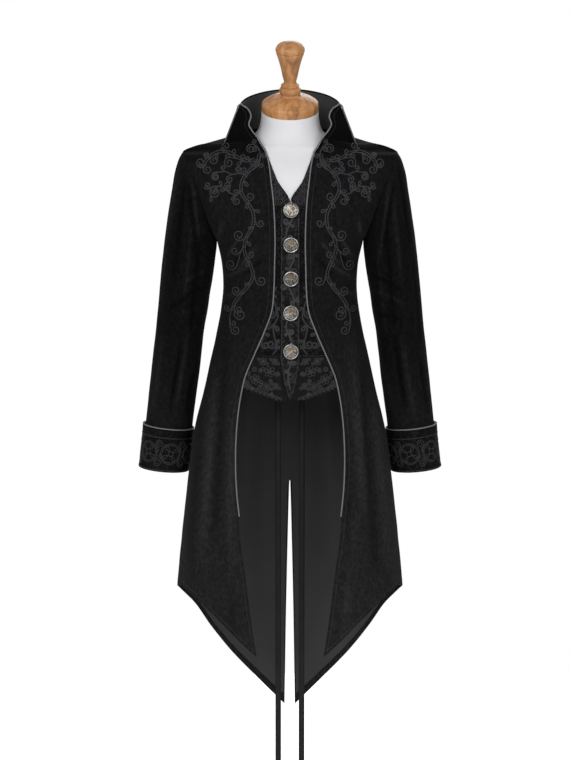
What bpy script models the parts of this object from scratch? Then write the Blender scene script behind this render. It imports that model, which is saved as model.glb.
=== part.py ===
"""A velvet tailcoat with a sewn-in waistcoat front, worn by a limbless dress form on a stand.

Metres, +Z up. The front faces -Y, and the wearer's left side is +X. The origin is the centre of
the underside of the stand's base.

All the cloth is cut on one shape, the coat's outer face. At a height z that face is a closed curve,
and a place on it is a turn: 0 at the centre front, 1 at the side, 2 at the centre back. A panel is
a grid of such places, and wall() gives it the thickness of the cloth along its own normals.
"""
import math
from collections import namedtuple

import bmesh
import bpy
from mathutils import Matrix, Vector

# Cloth thicknesses, and the layers under the coat's outer face
VELVET = 0.0020
SATIN = 0.0010
VEST_CLOTH = 0.0015
VEST_DEPTH = 0.0027
BAND_CLOTH = 0.0012
LAYER_GAP = 0.0003
LINING_GAP = 0.0005
SEAM = 0.00022

# Heights of the garment
SHOULDER_Z = 1.480
UNDERARM_Z = 1.303
FAN_Z = 0.820
FRONT_CORNER_Z = 0.480
SIDE_HEM_Z = 0.606
TAIL_TIP_Z = 0.304

# Half widths and shape of the coat's closed curve
FULLNESS = 0.56
SHOULDER_X = 0.212
UNDERARM_X = 0.146
ARMHOLE_DEPTH = 0.057
SHOULDER_CROWN = Vector((0.0, 0.002, 0.0070))
SHOULDER_STEPS = 3
SHOULDER_LEAN = math.radians(25)
SIDE_LEAN = math.radians(90)
FOLD_DEPTH = 0.016
FOLD_TOP_Z = 0.98
FOLD_LENGTH = 0.40
FOLDS_A_QUARTER = 2
SEAM_TURN_WAIST = 1.0
SEAM_TURN_HEM = 0.86
TAIL_RISE = 1.42
FRONT_RISE = 1.50

# Grid of the panels
PANEL_COLUMNS = 7
ARMHOLE_STEPS = 8
BODY_ROWS = 11
FRONT_FAN_ROWS = 6
TAIL_FAN_ROWS = 7
ARMHOLE_SIDES = 2 * ARMHOLE_STEPS

# Neckline, collar and wing
SEAM_BASE = Vector((0.129, -0.011, 1.494))
WING_TIP = Vector((0.0985, -0.0480, 1.5700))
NECK_BACK = Vector((0.0, 0.100, 1.525))
COLLAR_BACK = Vector((0.0, 0.095, 1.606))
NECK_WIDENING = 0.006
NECK_RISE = 0.8
WING_BULGE = Vector((0.0015, -0.0035, 0.0))
WING_SEAM_WAY = (WING_TIP - SEAM_BASE).normalized()
WING_SEAM_SIDE = WING_SEAM_WAY.cross(Vector((0.66, 0.75, 0.0)).cross(WING_SEAM_WAY)).normalized()
COLLAR_COLUMNS = 18
COLLAR_ROWS = 4
LINING_INSET = 0.003

# Trim
PIPING_RADIUS = 0.0015
PIPING_DEPTH = 0.0007
PIPING_GAP = 0.0005
PIPING_STOP = 0.0035
TIP_CLEARANCE = 0.0016
PIPING_END_Z = 0.740
PIPING_SIDES = 6
TAIL_HEM_FACING = 0.012
TAIL_SLIT_FACING = 0.008
TAIL_LINING_TOP_Z = 1.09

# Waistcoat
LAP_HALF = 0.0187
LAP_TOP_Z = 1.376
LAP_TAPER_Z = 1.072
LAP_END_Z = 0.999
LAP_TIP_HALF = 0.0015
LAP_POINTEDNESS = 0.6
V_POINT_Z = 1.384
HIP_SEAM_Z = UNDERARM_Z - 5 * (UNDERARM_Z - FAN_Z) / BODY_ROWS
HIP_HEM_SIDE_Z = 1.016
HIP_ROWS = 4
VEST_UNDER_COAT = 3
YOKE_COLUMNS = 5
BUTTON_HEIGHTS = (1.367, 1.301, 1.235, 1.167, 1.092)
BUTTON_X = 0.0015
CROWN_RING = 4
CROWN_LENGTH = 0.0012
BUTTON_SIDES = 16

# Dress form and stand
FORM_INSET = 0.0068
FORM_COLUMNS = 6
FORM_SIDE_TURNS = (0.95, 1.05)
FORM_HEIGHTS = (1.035, 1.075, 1.115, 1.155, 1.195, 1.235, 1.270, 1.303,
                1.335, 1.370, 1.405, 1.438, 1.458, 1.468)
FORM_RIDGE_HALF = 0.004
NECK_TILT = 20.0
CAP_CENTRE = Vector((0.0, -0.012, 1.560))
CAP_SIDES = 16
PLATE_THICKNESS = 0.012
PLATE_SHARE = 0.93
ROD_RADIUS = 0.006
ROD_X = 0.024
ROD_SIDES = 12
BASE_RADIUS = 0.180
BASE_THICKNESS = 0.016
HUB_RADIUS = 0.048
HUB_HEIGHT = 0.030
BASE_SIDES = 40
REST_GAP = 0.0003
BUTTON_GAP = 0.0005

Section = namedtuple("Section", "z side front back")
SECTIONS = [
    Section(1.480, 0.212, 0.080, 0.098),
    Section(1.454, 0.202, 0.094, 0.106),
    Section(1.425, 0.191, 0.105, 0.112),
    Section(1.391, 0.179, 0.115, 0.115),
    Section(1.358, 0.166, 0.122, 0.116),
    Section(1.329, 0.156, 0.125, 0.114),
    Section(1.303, 0.146, 0.125, 0.111),
    Section(1.278, 0.1405, 0.123, 0.107),
    Section(1.254, 0.1355, 0.119, 0.103),
    Section(1.230, 0.1335, 0.115, 0.100),
    Section(1.206, 0.1340, 0.112, 0.099),
    Section(1.181, 0.1360, 0.112, 0.101),
    Section(1.157, 0.1400, 0.113, 0.105),
    Section(1.109, 0.1490, 0.116, 0.114),
    Section(1.060, 0.1610, 0.119, 0.123),
    Section(1.012, 0.1710, 0.121, 0.131),
    Section(0.963, 0.1840, 0.123, 0.137),
    Section(0.914, 0.1950, 0.124, 0.142),
    Section(0.815, 0.2075, 0.125, 0.149),
    Section(0.691, 0.2210, 0.125, 0.155),
    Section(0.604, 0.2290, 0.124, 0.158),
    Section(0.480, 0.2360, 0.122, 0.161),
    Section(0.300, 0.2420, 0.120, 0.163),
]

Edge = namedtuple("Edge", "z x")
FRONT_EDGE = [
    Edge(1.480, 0.0493),
    Edge(1.463, 0.0445),
    Edge(1.431, 0.0402),
    Edge(1.396, 0.0357),
    Edge(1.357, 0.0328),
    Edge(1.320, 0.0316),
    Edge(1.284, 0.0316),
    Edge(1.240, 0.0332),
    Edge(1.197, 0.0346),
    Edge(1.160, 0.0405),
    Edge(1.135, 0.0505),
    Edge(1.105, 0.0640),
    Edge(1.072, 0.0775),
    Edge(1.039, 0.0910),
    Edge(1.024, 0.0965),
    Edge(0.995, 0.1005),
    Edge(0.958, 0.1055),
    Edge(0.921, 0.1085),
    Edge(0.885, 0.1095),
    Edge(0.835, 0.1093),
    Edge(0.775, 0.1035),
    Edge(0.722, 0.0993),
    Edge(0.636, 0.0875),
    Edge(0.583, 0.0813),
    Edge(0.545, 0.0765),
    Edge(0.512, 0.0715),
    Edge(0.480, 0.0665),
]

V_EDGE = [
    Edge(1.480, 0.0456),
    Edge(1.4625, 0.0395),
    Edge(1.443, 0.0318),
    Edge(1.424, 0.0240),
    Edge(1.4105, 0.0182),
    Edge(1.397, 0.0105),
    Edge(1.384, 0.0004),
]

SLIT_EDGE = [
    Edge(0.820, 0.0003),
    Edge(0.800, 0.0010),
    Edge(0.640, 0.0050),
    Edge(0.500, 0.0080),
    Edge(0.304, 0.0110),
]

HipHem = namedtuple("HipHem", "x z")
HIP_HEM = [
    HipHem(0.200, 1.038),
    HipHem(0.150, 1.030),
    HipHem(0.096, 1.016),
    HipHem(0.066, 1.007),
    HipHem(0.019, 0.991),
    HipHem(0.012, 0.990),
    HipHem(0.000, 0.999),
]

# The wing's free front edge, from the tip down, and how far up the outer seam each row ends
WingRow = namedtuple("WingRow", "x y z seam")
WING = [
    WingRow(0.0950, -0.0515, 1.5688, 0.985),
    WingRow(0.0850, -0.0560, 1.5620, 0.86),
    WingRow(0.0785, -0.0600, 1.5490, 0.66),
    WingRow(0.0825, -0.0630, 1.5320, 0.44),
    WingRow(0.0755, -0.0660, 1.5185, 0.22),
    WingRow(0.0650, -0.0690, 1.5055, 0.0),
]

# Rings of a sleeve: the inner point, the outer point, the half depth and the middle's y
Ring = namedtuple("Ring", "in_x in_z out_x out_z half y")
SLEEVE = [
    Ring(0.1460, 1.3030, 0.2120, 1.4800, 0.0570, 0.000),
    Ring(0.1460, 1.2975, 0.2195, 1.4680, 0.0600, 0.000),
    Ring(0.1464, 1.2905, 0.2275, 1.4450, 0.0630, 0.000),
    Ring(0.1475, 1.2800, 0.2355, 1.4020, 0.0650, 0.001),
    Ring(0.1495, 1.2660, 0.2435, 1.3550, 0.0655, 0.003),
    Ring(0.1525, 1.2450, 0.2505, 1.3060, 0.0650, 0.006),
    Ring(0.1565, 1.2200, 0.2570, 1.2540, 0.0640, 0.010),
    Ring(0.1610, 1.1950, 0.2620, 1.2060, 0.0630, 0.014),
    Ring(0.1660, 1.1600, 0.2665, 1.1610, 0.0610, 0.018),
    Ring(0.1725, 1.1250, 0.2705, 1.1250, 0.0600, 0.022),
    Ring(0.1790, 1.0750, 0.2770, 1.0750, 0.0590, 0.028),
    Ring(0.1850, 1.0250, 0.2830, 1.0250, 0.0570, 0.034),
    Ring(0.1915, 0.9800, 0.2885, 0.9800, 0.0550, 0.040),
    Ring(0.1975, 0.9350, 0.2935, 0.9370, 0.0530, 0.045),
    Ring(0.2035, 0.8850, 0.2995, 0.8900, 0.0525, 0.048),
    Ring(0.2105, 0.8310, 0.3070, 0.8410, 0.0525, 0.050),
]
CUFF = [
    Ring(0.1955, 0.9150, 0.3005, 0.9265, 0.0575, 0.0475),
    Ring(0.1985, 0.8900, 0.3025, 0.9010, 0.0570, 0.0480),
    Ring(0.2030, 0.8580, 0.3060, 0.8680, 0.0565, 0.0490),
    Ring(0.2073, 0.8290, 0.3102, 0.8390, 0.0558, 0.0500),
]

# Rings of the form's shoulders and neck; lean pinches the ring's ends into the shoulder ridge
FormRing = namedtuple("FormRing", "z half front back y lean tilt")
FORM_TOP = [
    FormRing(1.4875, 0.165, 0.074, 0.084, 0.002, 24, 0),
    FormRing(1.4925, 0.132, 0.071, 0.078, 0.001, 30, 1),
    FormRing(1.5000, 0.094, 0.068, 0.072, 0.000, 60, 4),
    FormRing(1.5180, 0.066, 0.062, 0.062, -0.003, 90, 11),
    FormRing(1.5400, 0.0575, 0.0570, 0.0570, -0.008, 90, 17),
    FormRing(1.5597, 0.0558, 0.0558, 0.0558, -0.012, 90, 20),
]

Turned = namedtuple("Turned", "radius height")
CAP_PROFILE = [
    Turned(0.0000, 0.0000),
    Turned(0.0560, 0.0000),
    Turned(0.0566, 0.0070),
    Turned(0.0556, 0.0150),
    Turned(0.0490, 0.0205),
    Turned(0.0345, 0.0280),
    Turned(0.0200, 0.0345),
    Turned(0.0214, 0.0400),
    Turned(0.0202, 0.0460),
    Turned(0.0168, 0.0485),
    Turned(0.0182, 0.0522),
    Turned(0.0132, 0.0560),
    Turned(0.0152, 0.0715),
    Turned(0.0206, 0.0960),
    Turned(0.0262, 0.1145),
    Turned(0.0276, 0.1165),
    Turned(0.0284, 0.1215),
    Turned(0.0276, 0.1275),
    Turned(0.0240, 0.1340),
    Turned(0.0160, 0.1385),
    Turned(0.0000, 0.1415),
]
BUTTON_PROFILE = [
    Turned(0.0000, 0.0000),
    Turned(0.0040, 0.0000),
    Turned(0.0040, 0.0016),
    Turned(0.0138, 0.0018),
    Turned(0.0150, 0.0028),
    Turned(0.0150, 0.0054),
    Turned(0.0140, 0.0062),
    Turned(0.0130, 0.0058),
    Turned(0.0128, 0.0044),
    Turned(0.0000, 0.0044),
]
BASE_PROFILE = [
    Turned(0.0, 0.0),
    Turned(BASE_RADIUS, 0.0),
    Turned(BASE_RADIUS, BASE_THICKNESS - 0.006),
    Turned(BASE_RADIUS - 0.005, BASE_THICKNESS),
    Turned(HUB_RADIUS, BASE_THICKNESS + 0.001),
    Turned(HUB_RADIUS - 0.003, HUB_HEIGHT),
    Turned(0.0, HUB_HEIGHT),
]

# Wheels of a button's clockwork face: place, radius and height above its plate
Wheel = namedtuple("Wheel", "x y radius rise")
WHEELS = [
    Wheel(0.0058, 0.0012, 0.0046, 0.0011),
    Wheel(0.0036, -0.0068, 0.0040, 0.0012),
    Wheel(-0.0062, 0.0006, 0.0050, 0.0007),
]
PLATE_RADIUS = 0.0124
PLATE_RISE = 0.0006
BRIDGE_SIZE = Vector((0.0050, 0.0150, 0.0014))
BRIDGE_PLACE = Vector((-0.0006, 0.0030, 0.0010))
WHEEL_SIDES = 10
WHEEL_SINK = 0.0003

COLOURS = {
    "velvet": ((0.012, 0.012, 0.013), 0.85, 0.0),
    "satin": ((0.030, 0.030, 0.032), 0.45, 0.0),
    "brocade": ((0.022, 0.022, 0.023), 0.60, 0.0),
    "lace": ((0.020, 0.020, 0.020), 0.75, 0.0),
    "piping": ((0.42, 0.42, 0.43), 0.40, 0.0),
    "case": ((0.78, 0.78, 0.78), 0.18, 1.0),
    "clockwork": ((0.55, 0.54, 0.50), 0.32, 1.0),
    "jersey": ((0.84, 0.84, 0.86), 0.90, 0.0),
    "wood": ((0.52, 0.28, 0.11), 0.40, 0.0),
    "steel": ((0.02, 0.02, 0.02), 0.40, 0.6),
}


def follow(rows, key, column, where):
    """Smooth value of a column where the key has this value; the key falls from row to row."""
    keys = [getattr(row, key) for row in rows]
    values = [getattr(row, column) for row in rows]
    if where >= keys[0]:
        return values[0]
    if where <= keys[-1]:
        return values[-1]
    low = next(i for i in range(1, len(keys)) if keys[i] <= where)
    high = low - 1
    width = keys[high] - keys[low]

    def slope(i):
        before = max(i - 1, 0)
        after = min(i + 1, len(keys) - 1)
        return (values[before] - values[after]) / (keys[before] - keys[after])

    t = (where - keys[low]) / width
    start = values[low]
    end = values[high]
    bend_start = slope(low) * width
    bend_end = slope(high) * width
    return (start * (2 * t**3 - 3 * t**2 + 1) + bend_start * (t**3 - 2 * t**2 + t)
            + end * (3 * t**2 - 2 * t**3) + bend_end * (t**3 - t**2))


def bezier(points, t):
    """Point of a cubic Bezier curve."""
    s = 1 - t
    a, b, c, d = points
    return a * s**3 + b * (3 * s * s * t) + c * (3 * s * t * t) + d * t**3


def armhole_angle(z):
    """Angle round the armhole at a height: 0 at the underarm, pi at the shoulder point."""
    middle = (SHOULDER_Z + UNDERARM_Z) / 2
    half = (SHOULDER_Z - UNDERARM_Z) / 2
    return math.acos(max(-1.0, min(1.0, (middle - z) / half)))


def quarter(half, depth, edge_depth, lean):
    """Control points of a quarter of the closed curve, from its middle to its side."""
    reach = FULLNESS * (depth - edge_depth)
    return (Vector((0, depth)), Vector((FULLNESS * half, depth)),
            Vector((half - reach * math.cos(lean), edge_depth + reach * math.sin(lean))),
            Vector((half, edge_depth)))


def coat(z, turn, behind=None):
    """Point of the coat's outer face, on the wearer's left."""
    if behind is None:
        behind = turn > 1
    share = 2 - turn if turn > 1 else turn
    depth = follow(SECTIONS, "z", "back" if behind else "front", z)
    if z < UNDERARM_Z:
        half = follow(SECTIONS, "z", "side", z)
        edge_depth = 0.0
        lean = SIDE_LEAN
    else:
        angle = armhole_angle(z)
        half = (SHOULDER_X + UNDERARM_X) / 2 - (SHOULDER_X - UNDERARM_X) / 2 * math.cos(angle)
        edge_depth = ARMHOLE_DEPTH * math.sin(angle)
        lean = SIDE_LEAN + (SHOULDER_LEAN - SIDE_LEAN) * angle / math.pi
    x, out = bezier(quarter(half, depth, edge_depth, lean), share)
    fall = max(0.0, min(1.0, (FOLD_TOP_Z - z) / FOLD_LENGTH))
    fold = 1 + FOLD_DEPTH * fall * math.sin(2 * math.pi * FOLDS_A_QUARTER * turn)
    return Vector((x * fold, (out if behind else -out) * fold, z))


def turn_at(z, x, behind=False):
    """The turn where the coat's outer face is this far from the middle."""
    low, high = (1.0, 2.0) if behind else (0.0, 1.0)
    for _ in range(40):
        middle = (low + high) / 2
        if (coat(z, middle, behind).x < x) != behind:
            low = middle
        else:
            high = middle
    return (low + high) / 2


def on_front(z, x):
    """Point of the coat's outer face in front, at a signed distance from the middle."""
    point = coat(z, turn_at(z, abs(x)))
    return Vector((math.copysign(point.x, x), point.y, point.z))


def side_seam(z):
    """Turn of the side seam, which runs a little to the front of the widest place."""
    share = (UNDERARM_Z - z) / (UNDERARM_Z - SIDE_HEM_Z)
    share = max(0.0, min(1.0, share))
    return SEAM_TURN_WAIST + (SEAM_TURN_HEM - SEAM_TURN_WAIST) * share


def hem_rise(share, steepness):
    """How far a slanting hem has risen: straight at first, then level near the side seam."""
    def climb(t):
        return steepness * t / (1 + (steepness * t)**6)**(1 / 6)
    return climb(share) / climb(1.0)


def body_heights():
    """Heights of the level rows, from the shoulder point down to where the skirt's rows fan out."""
    middle = (SHOULDER_Z + UNDERARM_Z) / 2
    half = (SHOULDER_Z - UNDERARM_Z) / 2
    chest = [middle + half * math.cos(math.pi * k / ARMHOLE_STEPS) for k in range(ARMHOLE_STEPS + 1)]
    chest[ARMHOLE_STEPS // 2:ARMHOLE_STEPS // 2 + 1] = [V_POINT_Z, LAP_TOP_Z]
    step = (UNDERARM_Z - FAN_Z) / BODY_ROWS
    return chest + [UNDERARM_Z - step * k for k in range(1, BODY_ROWS + 1)]


def front_edge_turn(z):
    return turn_at(z, follow(FRONT_EDGE, "z", "x", z))


def neckline(share):
    """Point of the seam between the back and the collar: 0 at the centre back, 1 at the wing."""
    angle = share * math.pi / 2
    x = SEAM_BASE.x * math.sin(angle) + NECK_WIDENING * math.sin(2 * angle)
    y = SEAM_BASE.y + (NECK_BACK.y - SEAM_BASE.y) * math.cos(angle)
    z = SEAM_BASE.z + (NECK_BACK.z - SEAM_BASE.z) * math.cos(angle)**NECK_RISE
    return Vector((x, y, z))


def collar_top(share):
    """Point of the collar's top edge: 0 at the centre back, 1 at the wing's tip."""
    angle = share * math.pi / 2
    x = WING_TIP.x * math.sin(angle)
    y = WING_TIP.y + (COLLAR_BACK.y - WING_TIP.y) * math.cos(angle)
    z = WING_TIP.z + (COLLAR_BACK.z - WING_TIP.z) * math.cos(angle)
    return Vector((x, y, z))


def wing_row(row):
    """A row of the wing, from its free edge to the piped outer seam."""
    start = Vector((row.x, row.y, row.z))
    end = SEAM_BASE.lerp(WING_TIP, row.seam)
    width = (end - start).length / (SEAM_BASE - Vector((WING[-1].x, WING[-1].y, WING[-1].z))).length
    shares = [k / PANEL_COLUMNS for k in range(PANEL_COLUMNS + 1)]
    return [start.lerp(end, s) + WING_BULGE * (4 * s * (1 - s) * width) for s in shares]


def shoulder_rows(top, bottom):
    """Rows across a shoulder, which rises between the neck and the sleeve."""
    last = len(top) - 1
    rows = []
    for k in range(1, SHOULDER_STEPS):
        rows.append([a.lerp(b, k / SHOULDER_STEPS) + SHOULDER_CROWN * (j / last)**2
                     for j, (a, b) in enumerate(zip(top, bottom))])
    return rows


def front_grid():
    """Rows of a front, from the wing's tip to the hem."""
    shares = [k / PANEL_COLUMNS for k in range(PANEL_COLUMNS + 1)]
    rows = [wing_row(row) for row in WING]
    level = []
    for z in body_heights():
        start = front_edge_turn(z)
        end = side_seam(z)
        level.append([coat(z, start + (end - start) * s) for s in shares])
    rows += shoulder_rows(rows[-1], level[0])
    rows += level
    for k in range(1, FRONT_FAN_ROWS + 1):
        inner = FAN_Z + (FRONT_CORNER_Z - FAN_Z) * k / FRONT_FAN_ROWS
        outer = FAN_Z + (SIDE_HEM_Z - FAN_Z) * k / FRONT_FAN_ROWS
        start = front_edge_turn(inner)
        end = side_seam(outer)
        rows.append([coat(inner + (outer - inner) * hem_rise(s, FRONT_RISE), start + (end - start) * s)
                     for s in shares])
    return rows


def back_grid():
    """Rows of a back, from the neckline to the tail's slanting hem; the first column is the slit."""
    shares = [k / PANEL_COLUMNS for k in range(PANEL_COLUMNS + 1)]
    level = []
    for z in body_heights():
        start = turn_at(z, follow(SLIT_EDGE, "z", "x", z), behind=True)
        if z < UNDERARM_Z - SEAM:
            end = side_seam(z)
            level.append([coat(z, start + (end - start) * s) for s in shares])
        else:
            level.append([coat(z, start + (1 - start) * s, behind=True) for s in shares])
    top = [neckline(s) for s in shares]
    top[0].x = SEAM
    rows = [top] + shoulder_rows(top, level[0]) + level
    for k in range(1, TAIL_FAN_ROWS + 1):
        inner = FAN_Z + (TAIL_TIP_Z - FAN_Z) * k / TAIL_FAN_ROWS
        outer = FAN_Z + (SIDE_HEM_Z - FAN_Z) * k / TAIL_FAN_ROWS
        start = turn_at(inner, follow(SLIT_EDGE, "z", "x", inner), behind=True)
        end = side_seam(outer)
        rows.append([coat(inner + (outer - inner) * hem_rise(s, TAIL_RISE), start + (end - start) * s)
                     for s in shares])
    return rows


def collar_grid():
    shares = [1 - 2 * k / COLLAR_COLUMNS for k in range(COLLAR_COLUMNS + 1)]
    lift = Vector((0, 0, 2 * SEAM))
    rows = []
    for k in range(COLLAR_ROWS + 1):
        up = 1 - k / COLLAR_ROWS
        rows.append([(neckline(s) + lift).lerp(collar_top(s), up) for s in shares])
    return rows


def ring_points(ring, sides):
    """Points round a sleeve: the first is the inner one, and the front comes next."""
    inner = Vector((ring.in_x, ring.y, ring.in_z))
    outer = Vector((ring.out_x, ring.y, ring.out_z))
    middle = (inner + outer) / 2
    half = (outer - inner) / 2
    points = []
    for k in range(sides):
        angle = 2 * math.pi * k / sides
        points.append(middle - half * math.cos(angle) + Vector((0, -ring.half * math.sin(angle), 0)))
    return points


def lap_half(z):
    """Half width of the buttonhole band, which tapers to a point under the last button."""
    if z >= LAP_TAPER_Z:
        return LAP_HALF
    share = max(0.0, (z - LAP_END_Z) / (LAP_TAPER_Z - LAP_END_Z))
    return max(LAP_TIP_HALF, LAP_HALF * share**LAP_POINTEDNESS)


def vest_columns(coat_edge, lap, left):
    """Distances from the middle of the waistcoat's visible columns; the left side carries the lap."""
    if left:
        return [-lap, -lap / 3, lap / 3, lap, lap + (coat_edge - lap) / 3,
                lap + (coat_edge - lap) * 2 / 3, coat_edge]
    start = lap + 2 * SEAM
    return [start + (coat_edge - start) * k / 6 for k in range(7)]


def hidden_turns(z):
    """Turns of the waistcoat's columns that lie behind the coat, the same as the coat's own."""
    start = front_edge_turn(z)
    end = side_seam(z)
    return [start + (end - start) * k / PANEL_COLUMNS for k in range(1, VEST_UNDER_COAT + 1)]


def yoke_grid():
    """Rows of the waistcoat's figured top piece, which ends at the neck's V."""
    rows = []
    for z in body_heights():
        if LAP_TOP_Z - SEAM < z < SHOULDER_Z - SEAM:
            start = follow(V_EDGE, "z", "x", z)
            width = follow(FRONT_EDGE, "z", "x", z) - start
            rows.append([on_front(z, start + width * k / YOKE_COLUMNS) for k in range(YOKE_COLUMNS + 1)]
                        + [coat(z, turn) for turn in hidden_turns(z)])
    return rows


def vest_grid(left):
    """Rows of a waistcoat front, from its yoke to the hip seam."""
    rows = []
    for z in body_heights():
        if HIP_SEAM_Z - SEAM < z < LAP_TOP_Z + SEAM:
            places = vest_columns(follow(FRONT_EDGE, "z", "x", z), lap_half(z), left)
            rows.append([on_front(z, x) for x in places] + [coat(z, turn) for turn in hidden_turns(z)])
    return rows


def hip_grid(left):
    """Rows of a hip panel, whose hem falls towards the middle."""
    top = HIP_SEAM_Z - 2 * SEAM
    rows = []
    for k in range(HIP_ROWS + 1):
        share = k / HIP_ROWS
        edge_z = top + (HIP_HEM_SIDE_Z - top) * share
        lap = lap_half(top + (LAP_END_Z - top) * share)
        row = []
        for x in vest_columns(follow(FRONT_EDGE, "z", "x", edge_z), lap, left):
            hem = follow(HIP_HEM, "x", "z", abs(x))
            row.append(on_front(top + (hem - top) * share, x))
        for turn in hidden_turns(edge_z):
            hem = follow(HIP_HEM, "x", "z", coat(edge_z, turn).x)
            row.append(coat(top + (hem - top) * share, turn))
        rows.append(row)
    return rows


def form_rings():
    """Rings of the dress form, from its bottom up to the neck; each starts at the centre front."""
    turns = [k / FORM_COLUMNS for k in range(FORM_COLUMNS)] + list(FORM_SIDE_TURNS)
    turns += [1 + k / FORM_COLUMNS for k in range(1, FORM_COLUMNS + 1)]
    rings = [whole_ring([inset(z, turn) for turn in turns]) for z in FORM_HEIGHTS]
    for row in FORM_TOP:
        lean = math.radians(row.lean)
        half_ring = []
        for turn in turns:
            behind = turn > 1
            share = 2 - turn if behind else turn
            depth = row.back if behind else row.front
            x, out = bezier(quarter(row.half, depth, FORM_RIDGE_HALF, lean), share)
            half_ring.append(Vector((x, out if behind else -out, 0)))
        tilt = Matrix.Rotation(math.radians(row.tilt), 3, "X")
        place = Vector((0, row.y, row.z))
        rings.append([place + tilt @ point for point in whole_ring(half_ring)])
    return rings


def whole_ring(half_ring):
    """A ring from its half on the wearer's left, with the first and last points on the middle."""
    mirrored = [Vector((-p.x, p.y, p.z)) for p in half_ring[-2:0:-1]]
    half_ring[0].x = 0.0
    half_ring[-1].x = 0.0
    return half_ring + mirrored


def inset(z, turn):
    """Point of the form: the coat's outer face, moved in along its level normal."""
    step = 0.01
    before = coat(z, max(turn - step, 0.0) if turn <= 1 else max(turn - step, 1.0001))
    after = coat(z, min(turn + step, 1.0) if turn <= 1 else min(turn + step, 2.0))
    along = after - before
    normal = Vector((-along.y, along.x, 0)).normalized()
    if normal.dot(Vector((before.x, before.y, 0))) < 0:
        normal = -normal
    return coat(z, turn) - normal * FORM_INSET


def material(name):
    found = bpy.data.materials.get(name)
    if found:
        return found
    colour, roughness, metallic = COLOURS[name]
    made = bpy.data.materials.new(name)
    made.use_nodes = True
    shader = made.node_tree.nodes["Principled BSDF"]
    shader.inputs["Base Color"].default_value = (*colour, 1)
    shader.inputs["Roughness"].default_value = roughness
    shader.inputs["Metallic"].default_value = metallic
    return made


def solid(name, points, faces, finish, smooth=True):
    """An object from points and faces, with its faces turned outwards."""
    mesh = bpy.data.meshes.new(name)
    mesh.from_pydata([tuple(p) for p in points], [], faces)
    edit = bmesh.new()
    edit.from_mesh(mesh)
    bmesh.ops.recalc_face_normals(edit, faces=edit.faces)
    edit.to_mesh(mesh)
    edit.free()
    if smooth:
        mesh.shade_smooth()
        mesh.set_sharp_from_angle(angle=math.radians(40))
    mesh.materials.append(material(finish))
    made = bpy.data.objects.new(name, mesh)
    bpy.context.scene.collection.objects.link(made)
    return made


def pull_in(points, edge, amount):
    """Moves an edge's points towards the next ones, by a distance or a list of distances."""
    last_row = len(points) - 1
    last_column = len(points[0]) - 1
    if edge in ("top", "bottom"):
        row, other = (0, 1) if edge == "top" else (last_row, last_row - 1)
        pairs = [((row, j), (other, j)) for j in range(last_column + 1)]
    else:
        column, other = (0, 1) if edge == "start" else (last_column, last_column - 1)
        pairs = [((i, column), (i, other)) for i in range(last_row + 1)]
    moved = []
    for (i, j), (k, m) in pairs:
        way = points[k][m] - points[i][j]
        moved.append((i, j, points[i][j] + way.normalized() * amount))
    for i, j, point in moved:
        points[i][j] = point


def grid_normals(points, closed):
    """Outward normals of a grid, from its own rows and columns."""
    rows = len(points)
    columns = len(points[0])
    normals = []
    for i in range(rows):
        line = []
        for j in range(columns):
            if closed:
                along = points[i][(j + 1) % columns] - points[i][j - 1]
            else:
                along = points[i][min(j + 1, columns - 1)] - points[i][max(j - 1, 0)]
            down = points[min(i + 1, rows - 1)][j] - points[max(i - 1, 0)][j]
            line.append(along.cross(down).normalized())
        normals.append(line)
    centre = Vector((0, 0, 0))
    if closed:
        centre = sum((p for row in points for p in row), Vector()) / (rows * columns)
    total = 0.0
    for row, line in zip(points, normals):
        for point, normal in zip(row, line):
            away = point - centre
            away.z = 0
            total += normal.dot(away)
    if total < 0:
        normals = [[-normal for normal in line] for line in normals]
    return normals


def keep_to_seam(normal, across):
    """Stops the wall's inner face from crossing the seam's plane, whose normal points across it."""
    over = normal.dot(across)
    if over >= 0:
        return normal
    return (normal - across * over).normalized()


def wall(name, points, outer, inner, finish, normals=None, closed=False):
    """A cloth wall between two depths below a grid; a depth is positive towards the inside."""
    rows = len(points)
    columns = len(points[0])
    if normals is None:
        normals = grid_normals(points, closed)
    faces_out = [p - n * outer for row, line in zip(points, normals) for p, n in zip(row, line)]
    faces_in = [p - n * inner for row, line in zip(points, normals) for p, n in zip(row, line)]
    count = rows * columns
    around = columns if closed else columns - 1
    triangles = []

    def quad(a, b, c, d):
        triangles.append((a, b, c))
        triangles.append((a, c, d))

    for i in range(rows - 1):
        for j in range(around):
            a = i * columns + j
            b = i * columns + (j + 1) % columns
            c = (i + 1) * columns + (j + 1) % columns
            d = (i + 1) * columns + j
            quad(a, b, c, d)
            quad(a + count, d + count, c + count, b + count)
    for j in range(around):
        after = (j + 1) % columns
        low = (rows - 1) * columns
        quad(j, j + count, after + count, after)
        quad(low + j, low + after, low + after + count, low + j + count)
    if not closed:
        for i in range(rows - 1):
            a = i * columns
            d = (i + 1) * columns
            quad(a, d, d + count, a + count)
            a += columns - 1
            d += columns - 1
            quad(a, a + count, d + count, d)
    return solid(name, faces_out + faces_in, triangles, finish)


def mirrored(points):
    return [[Vector((-p.x, p.y, p.z)) for p in row] for row in points]


def both_sides(name, points, outer, inner, finish, normals=None, closed=False):
    """The same wall on the wearer's left and, mirrored, on the wearer's right."""
    wall(name + "_left", points, outer, inner, finish, normals, closed)
    other = mirrored(normals) if normals else None
    wall(name + "_right", mirrored(points), outer, inner, finish, other, closed)


def armhole_side():
    """Normal of the armhole's plane, pointing from the body to the sleeve."""
    rise = Vector((SHOULDER_X - UNDERARM_X, 0, SHOULDER_Z - UNDERARM_Z)).normalized()
    return Vector((rise.z, 0, -rise.x))


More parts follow.
